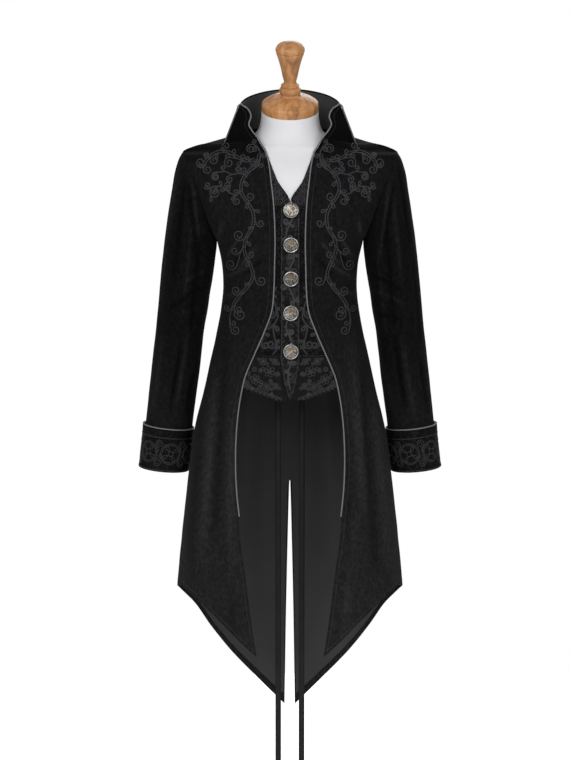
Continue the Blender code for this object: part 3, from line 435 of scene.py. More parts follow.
def vest_columns(coat_edge, lap, left):
    """Distances from the middle of the waistcoat's visible columns; the left side carries the lap."""
    if left:
        return [-lap, -lap / 3, lap / 3, lap, lap + (coat_edge - lap) / 3,
                lap + (coat_edge - lap) * 2 / 3, coat_edge]
    start = lap + 2 * SEAM
    return [start + (coat_edge - start) * k / 6 for k in range(7)]


def hidden_turns(z):
    """Turns of the waistcoat's columns that lie behind the coat, the same as the coat's own."""
    start = front_edge_turn(z)
    end = side_seam(z)
    return [start + (end - start) * k / PANEL_COLUMNS for k in range(1, VEST_UNDER_COAT + 1)]


def waistcoat_rows(low, high, places):
    """Rows of a waistcoat piece between two heights, with the columns that lie behind the coat."""
    return [[on_front(z, x) for x in places(z)] + [coat(z, turn) for turn in hidden_turns(z)]
            for z in body_heights() if low < z < high]


def yoke_grid():
    """Rows of the waistcoat's figured top piece, which ends at the neck's V."""
    def places(z):
        start = follow(V_EDGE, "z", "x", z)
        width = follow(FRONT_EDGE, "z", "x", z) - start
        return [start + width * k / YOKE_COLUMNS for k in range(YOKE_COLUMNS + 1)]
    return waistcoat_rows(LAP_TOP_Z - SEAM, SHOULDER_Z - SEAM, places)


def vest_grid(left):
    """Rows of a waistcoat front, from its yoke to the hip seam."""
    return waistcoat_rows(HIP_SEAM_Z - SEAM, LAP_TOP_Z + SEAM,
                          lambda z: vest_columns(follow(FRONT_EDGE, "z", "x", z), lap_half(z), left))


def hip_grid(left):
    """Rows of a hip panel, whose hem falls towards the middle."""
    top = HIP_SEAM_Z - 2 * SEAM
    rows = []
    for k in range(HIP_ROWS + 1):
        share = k / HIP_ROWS
        edge_z = top + (HIP_HEM_SIDE_Z - top) * share
        lap = lap_half(top + (LAP_END_Z - top) * share)
        row = []
        for x in vest_columns(follow(FRONT_EDGE, "z", "x", edge_z), lap, left):
            hem = follow(HIP_HEM, "x", "z", abs(x))
            row.append(on_front(top + (hem - top) * share, x))
        for turn in hidden_turns(edge_z):
            hem = follow(HIP_HEM, "x", "z", coat(edge_z, turn).x)
            row.append(coat(top + (hem - top) * share, turn))
        rows.append(row)
    return rows


def form_rings():
    """Rings of the dress form, from its bottom up to the neck; each starts at the centre front."""
    turns = [k / FORM_COLUMNS for k in range(FORM_COLUMNS)] + list(FORM_SIDE_TURNS)
    turns += [1 + k / FORM_COLUMNS for k in range(1, FORM_COLUMNS + 1)]
    rings = [whole_ring([inset(z, turn) for turn in turns]) for z in FORM_HEIGHTS]
    for row in FORM_TOP:
        lean = math.radians(row.lean)
        half_ring = []
        for turn in turns:
            behind = turn > 1
            share = 2 - turn if behind else turn
            depth = row.back if behind else row.front
            x, out = bezier(quarter(row.half, depth, FORM_RIDGE_HALF, lean), share)
            half_ring.append(Vector((x, out if behind else -out, 0)))
        tilt = Matrix.Rotation(math.radians(row.tilt), 3, "X")
        place = Vector((0, row.y, row.z))
        rings.append([place + tilt @ point for point in whole_ring(half_ring)])
    return rings


def whole_ring(half_ring):
    """A ring from its half on the wearer's left, with the first and last points on the middle."""
    mirrored = [Vector((-p.x, p.y, p.z)) for p in half_ring[-2:0:-1]]
    half_ring[0].x = 0.0
    half_ring[-1].x = 0.0
    return half_ring + mirrored


def inset(z, turn):
    """Point of the form: the coat's outer face, moved in along its level normal."""
    step = 0.01
    low, high = (0.0, 1.0) if turn <= 1 else (1.0001, 2.0)
    before = coat(z, max(turn - step, low))
    after = coat(z, min(turn + step, high))
    along = after - before
    normal = Vector((-along.y, along.x, 0)).normalized()
    if normal.dot(Vector((before.x, before.y, 0))) < 0:
        normal = -normal
    return coat(z, turn) - normal * FORM_INSET


def pull_in(grid, edge, amount):
    """Moves an edge of a grid towards the points next to it, or away from them where amount is negative."""
    lines = grid if edge in ("top", "bottom") else grid.transpose(1, 0, 2)
    moved, inside = (0, 1) if edge in ("top", "start") else (-1, -2)
    lines[moved] += unit(lines[inside] - lines[moved]) * amount


def button_matrix(z, band_depth):
    """Place of a button: its axis is the cloth's normal, and it stands just off the band."""
    slope = (coat(z + 0.01, 0.0).y - coat(z - 0.01, 0.0).y) / 0.02
    axis = Vector((0, -1, slope)).normalized()
    upwards = Vector((0, axis.z, -axis.y)).normalized()
    across = upwards.cross(axis)
    place = on_front(z, BUTTON_X) - axis * (band_depth - BUTTON_GAP)
    turn = Matrix((across, upwards, axis)).transposed().to_4x4()
    return Matrix.Translation(place) @ turn


# Fine grids

def array(grid):
    return np.array([[tuple(p) for p in row] for row in grid])


def unit(vectors):
    """The same directions at length 1."""
    return vectors / np.maximum(np.linalg.norm(vectors, axis=-1, keepdims=True), 1e-9)


def direction(path, closed=False):
    """Directions along a path, or from column to column of a grid whose axes are swapped."""
    if closed:
        return np.roll(path, -1, axis=0) - np.roll(path, 1, axis=0)
    return np.gradient(path, axis=0)


def run_of(path):
    """Distance along a path at each of its points."""
    return np.concatenate([[0], np.cumsum(np.linalg.norm(np.diff(path, axis=0), axis=1))])


def at_run(places, run, values):
    """Values of a path's three axes at distances along it."""
    return np.stack([np.interp(places, run, values[:, i]) for i in range(3)], axis=-1)


def circle_of(sides):
    """Angles of a whole turn in equal steps."""
    return 2 * np.pi * np.arange(sides) / sides


def smooth(values, step, closed=False):
    """Resamples a grid's first axis on smooth curves through its own rows."""
    count = len(values)
    if closed:
        values = np.concatenate([values[-1:], values, values[:2]])
    gaps = np.maximum(np.linalg.norm(np.diff(values, axis=0), axis=2).mean(axis=1), 1e-6)
    width = gaps[:, None, None]
    secant = np.diff(values, axis=0) / width
    slope = np.empty_like(values)
    slope[1:-1] = (secant[:-1] * width[1:] + secant[1:] * width[:-1]) / (width[1:] + width[:-1])
    slope[0] = 1.5 * secant[0] - 0.5 * slope[1]
    slope[-1] = 1.5 * secant[-1] - 0.5 * slope[-2]
    spans = range(1, count + 1) if closed else range(count - 1)
    index = []
    share = []
    for i in spans:
        cuts = max(1, round(gaps[i] / step))
        index += [i] * cuts
        share += [k / cuts for k in range(cuts)]
    if not closed:
        index.append(count - 2)
        share.append(1.0)
    i = np.array(index)
    return hermite(np.array(share)[:, None, None], values[i], slope[i] * width[i],
                   values[i + 1], slope[i + 1] * width[i])


def fine(grid, step, closed=False):
    """A fine grid through a coarse one; a closed one runs round along its rows."""
    rows = smooth(array(grid), step)
    return smooth(rows.transpose(1, 0, 2), step, closed).transpose(1, 0, 2)


def fine_normals(points, closed=False):
    """Outward normals of a fine grid."""
    along = direction(points.transpose(1, 0, 2), closed).transpose(1, 0, 2)
    normals = unit(np.cross(along, direction(points)))
    away = points - points.reshape(-1, 3).mean(axis=0) if closed else points.copy()
    away[..., 2] = 0
    return normals if (normals * away).sum() > 0 else -normals


# Soft folds: from one place to another as seen from the front or back, half width and height
FOLD = "x z to_x to_z width lift"


def folded(points, normals, before, behind):
    """Lifts the cloth along its normals where the folds run; also gives how far."""
    total = np.zeros(points.shape[:2])
    for folds, facing in ((before, -normals[..., 1]), (behind, normals[..., 1])):
        seen = np.clip(1.6 * facing, 0, 1)
        for fold in folds:
            way = np.array((fold.to_x - fold.x, fold.to_z - fold.z))
            length = np.linalg.norm(way)
            place = points[..., (0, 2)] - np.array((fold.x, fold.z))
            along = place @ way / length**2
            off = (place[..., 0] * way[1] - place[..., 1] * way[0]) / length
            taper = np.sqrt(np.clip(4 * along * (1 - along), 0, 1))
            total += seen * fold.lift * taper * np.exp(-(off / fold.width)**2)
    return points + normals * total[..., None], total


def uneven(points, normals, height, scale, seed):
    """Small unevenness of worn cloth."""
    move = np.array([[noise.noise(Vector(p) * scale + Vector((seed, 0, 0))) for p in row]
                     for row in points])
    return points + normals * (height * move)[..., None]


# Mesh pieces

def linked(name, data):
    """A new object in the scene."""
    made = bpy.data.objects.new(name, data)
    bpy.context.scene.collection.objects.link(made)
    return made


def piece(name, points, faces, look, slot, slots=None, smooth_angle=50):
    """A mesh piece that rides on the part; slots gives each face's material number."""
    mesh = bpy.data.meshes.new(name)
    mesh.from_pydata(np.asarray(points).tolist(), [], [tuple(int(i) for i in f) for f in faces])
    for material in look if isinstance(look, list) else [look]:
        mesh.materials.append(material)
    if slots is not None:
        mesh.polygons.foreach_set("material_index", slots)
    edit = bmesh.new()
    edit.from_mesh(mesh)
    bmesh.ops.recalc_face_normals(edit, faces=edit.faces)
    edit.to_mesh(mesh)
    edit.free()
    mesh.shade_smooth()
    mesh.set_sharp_from_angle(angle=math.radians(smooth_angle))
    made = linked(name, mesh)
    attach(made, "root")
    return made


def cloth(name, points, normals, outer, inner, look, slot, node, closed=False, nap=None):
    """A thin cloth wall with soft edges, between two depths below its grid; the optional lightness per point is
    painted light and shade of its folds.
    """
    rows, columns = points.shape[:2]
    pull = np.zeros_like(points)
    ways = [(points, pull)]
    if not closed:
        ways.append((points.transpose(1, 0, 2), pull.transpose(1, 0, 2)))
    for lines, moved in ways:
        for edge, inside in ((0, 1), (-1, -2)):
            moved[edge] += (inner - outer) * EDGE_SOFTNESS * unit(lines[inside] - lines[edge])
    middle = points - normals * ((outer + inner) / 2)
    count = rows * columns
    number = np.arange(count).reshape(rows, columns)
    around = np.concatenate([number, number[:, :1]], axis=1) if closed else number
    a, b, c, d = (part.ravel() for part in (around[:-1, :-1], around[:-1, 1:], around[1:, 1:], around[1:, :-1]))
    faces = [np.stack([a, b, c, d], axis=1), np.stack([a, d, c, b], axis=1) + count]
    loops = [number[0], number[-1]]
    if not closed:
        loops = [np.concatenate([number[0], number[1:, -1], number[-1, -2::-1], number[-2:0:-1, 0]])]
    vertices = [(points - normals * depth + pull).reshape(-1, 3) for depth in (outer, inner)]
    start = 2 * count
    for low in loops:
        vertices.append(middle.reshape(-1, 3)[low])
        after = np.roll(low, -1)
        mid = start + np.arange(len(low))
        mid_after = np.roll(mid, -1)
        faces.append(np.stack([low, after, mid_after, mid], axis=1))
        faces.append(np.stack([mid, mid_after, after + count, low + count], axis=1))
        start += len(low)
    made = piece(name, np.concatenate(vertices), np.concatenate(faces), look, slot=slot)
    if nap is not None:
        nap = nap.ravel()
        field = made.data.attributes.new("nap", "FLOAT", "POINT")
        field.data.foreach_set("value", np.concatenate([nap, nap] + [nap[loop] for loop in loops]))
    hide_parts(node)
    return made


def flipped(points):
    return points * np.array((-1.0, 1.0, 1.0))


def tube_mesh(path, normals, width, height, sides=8, groove=0.0, bead=0.0):
    """Points and faces of a cord that lies on a surface, flat or round, plain or beaded."""
    path = np.asarray(path)
    along = unit(direction(path))
    side = unit(np.cross(along, normals))
    up = np.cross(side, along)
    turn = circle_of(sides)
    across = np.cos(turn) * width / 2
    rise = np.sin(turn) * height / 2 * (1 - groove * np.exp(-(np.cos(turn) / 0.4)**2) * (np.sin(turn) > 0))
    swell = (1 + bead * np.cos(2 * np.pi * run_of(path) / BEAD_PITCH))[:, None, None]
    points = path[:, None] + (side[:, None] * across[None, :, None] + up[:, None] * rise[None, :, None]) * swell
    return points.reshape(-1, 3), ring_faces(len(path), sides)


def ring_faces(rings, sides, closed=False):
    faces = []
    for i in range(rings if closed else rings - 1):
        low = i * sides
        high = (i + 1) % rings * sides
        faces += [(low + k, low + (k + 1) % sides, high + (k + 1) % sides, high + k) for k in range(sides)]
    if not closed:
        faces.append(tuple(range(sides)))
        faces.append(tuple(range((rings - 1) * sides, rings * sides)))
    return faces


def joined(parts):
    """One list of points and faces from several."""
    points = []
    faces = []
    start = 0
    for some_points, some_faces in parts:
        points.append(np.asarray(some_points))
        faces += [tuple(i + start for i in face) for face in some_faces]
        start += len(some_points)
    return np.concatenate(points), faces


def moved(place, points):
    return [tuple(place @ Vector(tuple(p))) for p in points]


def turned_mesh(profile, sides, place, step=None):
    """Points and faces of a turned form; its profile of radius and height starts and ends on the axis."""
    rows = smooth(np.array(profile)[:, None, :], step)[:, 0] if step else profile
    rows = [(max(radius, 0.0), height) for radius, height in rows]
    turn = circle_of(sides)
    points = [[radius * c, radius * s, height] for radius, height in rows[1:-1]
              for c, s in zip(np.cos(turn), np.sin(turn))]
    count = len(points)
    points += [[0, 0, rows[0][1]], [0, 0, rows[-1][1]]]
    faces = ring_faces(len(rows) - 2, sides)[:-2]
    faces += [(count, (k + 1) % sides, k) for k in range(sides)]
    last = count - sides
    faces += [(count + 1, last + k, last + (k + 1) % sides) for k in range(sides)]
    return moved(place, points), faces


# Materials

class Look:
    """A procedural material, built node by node."""

    def __init__(self, name, colour, roughness, metallic=0.0, **sockets):
        self.material = bpy.data.materials.new(name)
        self.material.use_nodes = True
        self.tree = self.material.node_tree
        self.shader = self.tree.nodes["Principled BSDF"]
        self.shader.inputs["Base Color"].default_value = (*colour, 1)
        self.shader.inputs["Roughness"].default_value = roughness
        self.shader.inputs["Metallic"].default_value = metallic
        for socket, value in sockets.items():
            self.shader.inputs[socket.replace("_", " ")].default_value = value
        self.place = self.tree.nodes.new("ShaderNodeTexCoord").outputs["Object"]
        self.height = None

    def node(self, kind, **values):
        made = self.tree.nodes.new("ShaderNode" + kind)
        for key, value in values.items():
            key = key.replace("_", " ")
            socket = made.inputs.get(key) if key in made.inputs else None
            if socket is None:
                setattr(made, key.replace(" ", "_"), value)
            elif isinstance(value, bpy.types.NodeSocket):
                self.tree.links.new(value, socket)
            else:
                socket.default_value = value
        return made

    def noise(self, scale, detail=3.0, stretch=None, distortion=0.0):
        place = self.place
        if stretch:
            place = self.node("Mapping", Scale=stretch, Vector=self.place).outputs[0]
        return self.node("TexNoise", Scale=scale, Detail=detail, Distortion=distortion,
                         Vector=place).outputs["Fac"]

    def cells(self, scale):
        made = self.node("TexVoronoi", feature="DISTANCE_TO_EDGE", Scale=scale, Vector=self.place)
        return made.outputs["Distance"]

    def sum(self, factor, weight, added):
        """A factor times its weight, plus a value or another factor."""
        made = self.node("Math", operation="MULTIPLY_ADD")
        for socket, value in zip(made.inputs, (factor, weight, added)):
            if isinstance(value, bpy.types.NodeSocket):
                self.tree.links.new(value, socket)
            else:
                socket.default_value = value
        return made.outputs[0]

    def ramp(self, factor, stops):
        """A colour ramp from places to grey levels or colours."""
        made = self.node("ValToRGB", Fac=factor)
        ramp = made.color_ramp
        while len(ramp.elements) < len(stops):
            ramp.elements.new(0.5)
        for element, (place, colour) in zip(ramp.elements, stops):
            element.position = place
            element.color = (*(colour if isinstance(colour, tuple) else [colour] * 3), 1)
        return made.outputs["Color"]

    def colour(self, factor, stops):
        self.tree.links.new(self.ramp(factor, stops), self.shader.inputs["Base Color"])

    def rough(self, factor, stops):
        self.tree.links.new(self.ramp(factor, stops), self.shader.inputs["Roughness"])

    def bump(self, factor, distance, strength=1.0):
        bump = self.node("Bump", Height=factor, Distance=distance, Strength=strength)
        if self.height:
            self.tree.links.new(self.height, bump.inputs["Normal"])
        self.height = bump.outputs[0]
        self.tree.links.new(self.height, self.shader.inputs["Normal"])


def velvet_look():
    """Velvet with a random grain, made lighter and darker by the cloth's attribute: painted highlight on fold
    ridges, painted shade in their troughs, and painted light and shade by height.
    """
    look = Look("velvet", (0.008, 0.008, 0.009), 0.8, Specular_IOR_Level=0.03, Sheen_Weight=0.015,
                Sheen_Roughness=0.45)
    grain = look.noise(170, 8, (1, 1, 0.7), distortion=0.5)
    # The attribute is painted light: lighter on fold ridges, darker in troughs and at set heights
    lie = look.node("Attribute", attribute_name="nap").outputs["Fac"]
    nap = look.sum(grain, 0.56, look.sum(lie, 0.8, -0.255))
    pile_and_painted_light = look.sum(look.noise(1500, 2), 0.46, nap)
    look.colour(pile_and_painted_light, [(0.27, (0.0012, 0.0012, 0.0014)), (0.49, (0.0042, 0.0042, 0.0046)),
                       (0.69, (0.0092, 0.0092, 0.0098)), (0.98, (0.023, 0.023, 0.0242))])
    look.bump(look.noise(900, 2), 0.0006, 0.5)
    look.bump(look.noise(30, 3), 0.001, 0.25)
    return look.material


def grained(look, colours, rough=None, *bumps):
    """Colour, roughness and relief from noises: each has its noise's values, then stops or sizes."""
    look.colour(look.noise(*colours[0]), colours[1])
    if rough:
        look.rough(look.noise(*rough[0]), rough[1])
    for grain, distance, strength in bumps:
        look.bump(look.noise(*grain), distance, strength)
    return look.material


def satin_look(name, dark, light):
    return grained(Look(name, light, 0.5, Specular_IOR_Level=0.12), ((9, 2), [(0.3, dark), (0.7, light)]),
                   ((60, 2), [(0.3, 0.38), (0.7, 0.52)]), ((700, 1, (1, 1, 0.08)), 0.0003, 0.4))


def brocade_look(name, scale, dark, light):
    look = Look(name, light, 0.6, Specular_IOR_Level=0.07)
    figure = look.noise(scale, 2, distortion=2.6)
    look.colour(figure, [(0.47, dark), (0.62, light)])
    look.rough(figure, [(0.47, 0.85), (0.62, 0.55)])
    look.bump(figure, 0.0006, 0.5)
    look.bump(look.noise(1100, 1, (1, 1, 0.3)), 0.0003, 0.5)
    return look.material


def lace_look():
    look = Look("lace", (0.004, 0.004, 0.004), 0.8, Specular_IOR_Level=0.05)
    holes = look.cells(260)
    look.colour(holes, [(0.03, (0.0065, 0.0065, 0.007)), (0.12, (0.0018, 0.0018, 0.002))])
    look.bump(holes, 0.0008, 0.8)
    return look.material


def cord_look(name, dark, light, roughness, sheen=0.0, specular=0.4):
    return grained(Look(name, light, roughness, Specular_IOR_Level=specular, Sheen_Weight=sheen),
                   ((1400, 2), [(0.35, dark), (0.65, light)]), None, ((1800, 1), 0.0003, 0.6))


def metal_look(name, dark, light, roughness, scale=90):
    return grained(Look(name, light, roughness, 1.0), ((scale, 4), [(0.3, dark), (0.7, light)]),
                   ((scale * 7, 2, (1, 1, 0.2)), [(0.3, roughness * 0.7), (0.7, roughness * 1.4)]),
                   ((scale * 12, 2), 0.0001, 0.3))


VELVET_LOOK = velvet_look()
SATIN_LOOK = satin_look("satin", (0.0255, 0.0255, 0.0261), (0.029, 0.029, 0.0298))
# A lighter copy of the satin: painted light inside the collar, which sits in shade
LIT_NECK_SATIN_LOOK = satin_look("neck_satin_painted_light", (0.07, 0.071, 0.074), (0.084, 0.085, 0.089))
BROCADE_LOOK = brocade_look("brocade", 85, (0.0016, 0.0016, 0.0018), (0.0058, 0.0058, 0.0063))
# The band's figured cloth is lighter than the waistcoat's, with its satin sheen painted into the lighter colour
BAND_PAINTED_SHEEN_LOOK = brocade_look("band", 62, (0.005, 0.005, 0.0052), (0.019, 0.019, 0.0196))
YOKE_LOOK = brocade_look("yoke", 120, (0.006, 0.006, 0.0066), (0.017, 0.017, 0.0186))
LACE_LOOK = lace_look()
SOUTACHE_LOOK = cord_look("soutache", (0.014, 0.014, 0.015), (0.036, 0.036, 0.039), 0.6, specular=0.15)
FIGURE_LOOK = cord_look("figure", (0.012, 0.012, 0.013), (0.028, 0.028, 0.03), 0.5, specular=0.12)
NET_LOOK = cord_look("net", (0.0085, 0.0085, 0.009), (0.02, 0.02, 0.0212), 0.6, specular=0.1)
THREAD_LOOK = cord_look("thread", (0.017, 0.017, 0.018), (0.038, 0.038, 0.041), 0.5, specular=0.15)
PIPING_LOOK = cord_look("piping", (0.065, 0.065, 0.068), (0.155, 0.155, 0.162), 0.5, sheen=0.05)
JERSEY_LOOK = grained(Look("jersey", (0.8, 0.8, 0.85), 0.92, Specular_IOR_Level=0.2, Sheen_Weight=0.1),
                      ((9, 3), [(0.3, (0.565, 0.565, 0.583)), (0.7, (0.625, 0.625, 0.643))]), None,
                      ((1300, 1, (1, 1, 0.45)), 0.0004, 0.5))
WOOD_LOOK = grained(Look("wood", (0.5, 0.25, 0.1), 0.46, Specular_IOR_Level=0.35, Coat_Weight=0.08),
                    ((64, 7, (1, 1, 0.09), 0.7), [(0.3, (0.175, 0.07, 0.022)), (0.46, (0.35, 0.16, 0.058)),
                                                  (0.7, (0.5, 0.25, 0.102))]),
                    ((40, 2, (1, 1, 0.1)), [(0.3, 0.4), (0.7, 0.54)]), ((420, 2, (1, 1, 0.05)), 0.0003, 0.5))
CHROME_LOOK = metal_look("chrome", (0.24, 0.235, 0.23), (0.36, 0.35, 0.34), 0.3)
STEEL_LOOK = metal_look("steel", (0.27, 0.26, 0.245), (0.44, 0.42, 0.39), 0.34)
BRASS_LOOK = metal_look("brass", (0.28, 0.2, 0.1), (0.42, 0.32, 0.18), 0.32)
PLATE_LOOK = metal_look("plate", (0.05, 0.047, 0.044), (0.12, 0.112, 0.104), 0.42)
RUBY_LOOK = grained(Look("ruby", (0.3, 0.004, 0.02), 0.12, Coat_Weight=0.6),
                    ((900, 1), [(0.3, (0.2, 0.002, 0.012)), (0.7, (0.36, 0.006, 0.03))]))
PAINT_LOOK = grained(Look("black_paint", (0.016, 0.016, 0.016), 1.0, Specular_IOR_Level=0.0),
                     ((50, 3), [(0.3, (0.0145, 0.0145, 0.0147)), (0.7, (0.0175, 0.0175, 0.0178))]), None,
                     ((500, 2), 0.0003, 0.4))

# Cloth: steps of the grids, seams and stitching

CLOTH_STEP = 0.0042
SEAM_OVERLAP = 0.0008
FRONT_FACING = 0.008
FRONT_HEM = 0.01
TWIN_STITCH = 0.0016
EDGE_SOFTNESS = 0.35
# Painted light on the velvet: the fold lift that makes a full step of painted highlight or shade, and the
# collar's painted level
PAINTED_LIGHT_LIFT = 0.0095
COLLAR_PAINTED_LEVEL = 0.2
SMALL_STEP = 0.004
COLLAR_STITCHING = 0.005
VENT_TOP_Z = FAN_Z - 0.025
STITCH = 0.003
STITCH_PITCH = 0.0042
STITCH_RISE = 0.0002
THREAD_SIZE = (0.0007, 0.0006)

# Heights, and the curved back seam's share of the way across at each
BACK_SEAM = ((1.2, 1.25, 1.29, 1.32, 1.34), (0.46, 0.52, 0.64, 0.8, 0.97))

# Heights, and the lightness painted into the velvet at each: painted light and shade, darkest as painted shade
# at the collar's wings
BODY_PAINTED_LEVELS = ((0.95, 1.15, 1.45, 1.5), (0.56, 0.38, 0.36, 0.06))
SLEEVE_PAINTED_LEVELS = ((0.93, 1.02, 1.12, 1.3, 1.42, 1.47), (0.4, 0.3, 0.19, 0.17, 0.27, 0.36))

BODY_FOLDS_LEFT = table(
    FOLD,
    (139, 1312, 133, 1354, 3.4, 3.4), (128, 1266, 92, 1324, 3.4, 3.6), (113, 1260, 84, 1308, 3.8, -2.4),
    (100, 1258, 58, 1308, 3.2, 3.4), (88, 1234, 48, 1280, 3.8, -2.2), (132, 1226, 74, 1264, 3.6, 3),
    (136, 1196, 86, 1212, 4, 2.6), (122, 1130, 150, 760, 10, 1.7), (140, 1080, 172, 640, 9, -1.9),
    (168, 1010, 200, 640, 10, 1.5), (112, 980, 120, 600, 8, -1.2), (128, 780, 110, 500, 9, 1.4))
BODY_FOLDS_RIGHT = table(
    FOLD,
    (-141, 1306, -132, 1346, 3.2, 3.6), (-126, 1272, -94, 1320, 3.2, 3.6),
    (-116, 1254, -80, 1300, 3.6, -2.2), (-103, 1248, -64, 1300, 3.4, 3.2),
    (-92, 1240, -52, 1274, 3.6, -2.4), (-130, 1232, -80, 1256, 3.8, 2.8),
    (-134, 1190, -94, 1210, 4.2, 2.6), (-128, 1110, -152, 700, 9.5, -1.7),
    (-146, 1060, -178, 660, 10, 1.7), (-176, 1000, -206, 650, 9, -1.5), (-114, 960, -124, 560, 9, 1.4),
    (-132, 740, -112, 500, 8, -1.2))
BACK_FOLDS_LEFT = table(
    FOLD,
    (165, 1400, 80, 1340, 12, -2.2), (150, 1330, 60, 1290, 10, 1.6), (140, 1262, 45, 1240, 8.5, -1.8),
    (132, 1214, 50, 1200, 8, 1.4), (70, 1130, 100, 520, 22, 4), (130, 1100, 175, 560, 20, -3.6),
    (185, 980, 214, 620, 16, 2.8), (35, 900, 50, 380, 15, -2.6))
BACK_FOLDS_RIGHT = table(
    FOLD,
    (-158, 1392, -92, 1330, 11, -2), (-146, 1322, -50, 1300, 9, -1.4), (-138, 1250, -52, 1234, 9, 1.6),
    (-134, 1206, -60, 1188, 8, -1.6), (-80, 1110, -116, 500, 24, 3.8), (-142, 1060, -186, 580, 19, -3.4),
    (-190, 1000, -220, 600, 15, 3), (-30, 860, -58, 400, 16, -2.2))
SLEEVE_FOLDS_LEFT = table(
    FOLD,
    (197, 1436, 176, 1270, 3.4, 3.1), (204, 1424, 184, 1280, 3.2, -2.6), (214, 1456, 236, 1300, 3.8, -3),
    (226, 1446, 258, 1180, 4.5, 2.3), (200, 1410, 222, 1210, 4.2, 2.5), (186, 1360, 206, 1130, 4, -3.4),
    (240, 1330, 262, 1090, 4.8, -2.8), (172, 1290, 192, 1110, 3.7, 2), (166, 1236, 222, 1204, 4, -2.8),
    (170, 1206, 236, 1176, 4.6, 1.9), (176, 1160, 226, 1146, 3.7, -2.2), (206, 1120, 232, 960, 4.5, -3.2),
    (222, 1110, 252, 945, 4.8, 2.3), (258, 1080, 280, 950, 4.2, -2.6), (190, 1060, 208, 950, 3.8, 1.7))
SLEEVE_FOLDS_RIGHT = table(
    FOLD,
    (-194, 1440, -176, 1290, 3.2, 2.8), (-201, 1420, -182, 1276, 3.4, -3),
    (-218, 1452, -238, 1320, 4.2, 2.2), (-206, 1430, -230, 1230, 4, -3.2),
    (-230, 1420, -260, 1150, 4.8, 2.5), (-190, 1370, -212, 1160, 3.8, 2.3),
    (-176, 1320, -198, 1120, 4.2, -3.4), (-246, 1300, -264, 1100, 4.3, -2.4),
    (-168, 1246, -214, 1220, 3.7, 2), (-172, 1214, -240, 1170, 4.5, -3), (-178, 1170, -222, 1160, 4, 1.6),
    (-200, 1140, -228, 970, 4.6, 2.3), (-216, 1100, -244, 950, 4, -3), (-252, 1120, -276, 955, 4.8, 2),
    (-194, 1040, -210, 945, 3.7, -2.2))
SLEEVE_BACK_LEFT = table(
    FOLD,
    (210, 1446, 240, 1260, 5.6, -3), (226, 1400, 256, 1180, 6, 3), (184, 1320, 208, 1110, 5.4, 3.2),
    (246, 1300, 268, 1060, 6, -2.8), (172, 1222, 248, 1208, 5.8, -3.4), (176, 1186, 256, 1178, 6, 3.2),
    (182, 1146, 250, 1128, 5.4, -2.6), (208, 1090, 240, 950, 5.6, -2.8), (236, 1070, 266, 945, 6, 2.6))
SLEEVE_BACK_RIGHT = table(
    FOLD,
    (-216, 1440, -242, 1240, 6, 3), (-200, 1380, -228, 1200, 5.4, -3), (-188, 1300, -210, 1120, 5.6, 3),
    (-242, 1320, -264, 1080, 6.2, -3), (-172, 1236, -244, 1214, 5.6, 3),
    (-178, 1200, -254, 1170, 5.8, -3.4), (-184, 1152, -246, 1140, 5.6, 2.6),
    (-212, 1080, -244, 945, 5.8, 2.8), (-240, 1050, -268, 950, 5.6, -2.6))
BODY_FOLDS = {1: (BODY_FOLDS_LEFT, BACK_FOLDS_LEFT), -1: (BODY_FOLDS_RIGHT, BACK_FOLDS_RIGHT)}
SLEEVE_FOLDS = {1: (SLEEVE_FOLDS_LEFT, SLEEVE_BACK_LEFT), -1: (SLEEVE_FOLDS_RIGHT, SLEEVE_BACK_RIGHT)}
NO_FOLDS = ((), ())
SIDES = {1: "left", -1: "right"}


def worn(grid, step, side, folds, seed, closed=False, height=0.0006, scale=24):
    """A fine worn surface and its normals, on the wearer's left (1) or right (-1)."""
    points = fine(grid, step, closed)
    if side < 0:
        points = flipped(points)
    normals = fine_normals(points, closed)
    points = uneven(points, normals, height, scale, seed)
    points, lift = folded(points, normals, *folds)
    return points, fine_normals(points, closed), lift


def painted_fold_light(lift, level):
    """Painted lightness of the velvet: painted highlight on fold ridges and painted shade in troughs, over a
    painted level.
    """
    return np.clip(level + lift / PAINTED_LIGHT_LIFT, 0.0, 1.0)


def velvet(name, node, grid, side, folds, seed, painted_levels, closed=False):
    """A velvet piece's fine grid, and a function that makes its cloth once its seams are moved."""
    points, normals, lift = worn(grid, CLOTH_STEP, side, folds, seed, closed)
    # Painted highlight on fold ridges and painted shade in troughs, over painted light and shade by height
    nap = painted_fold_light(lift, np.interp(points[..., 2], *painted_levels))

    def make():
        return cloth(name + SIDES[side], points, normals, 0, VELVET, VELVET_LOOK, "velvet",
                     node + SIDES[side], closed, nap)

    return points, normals, make


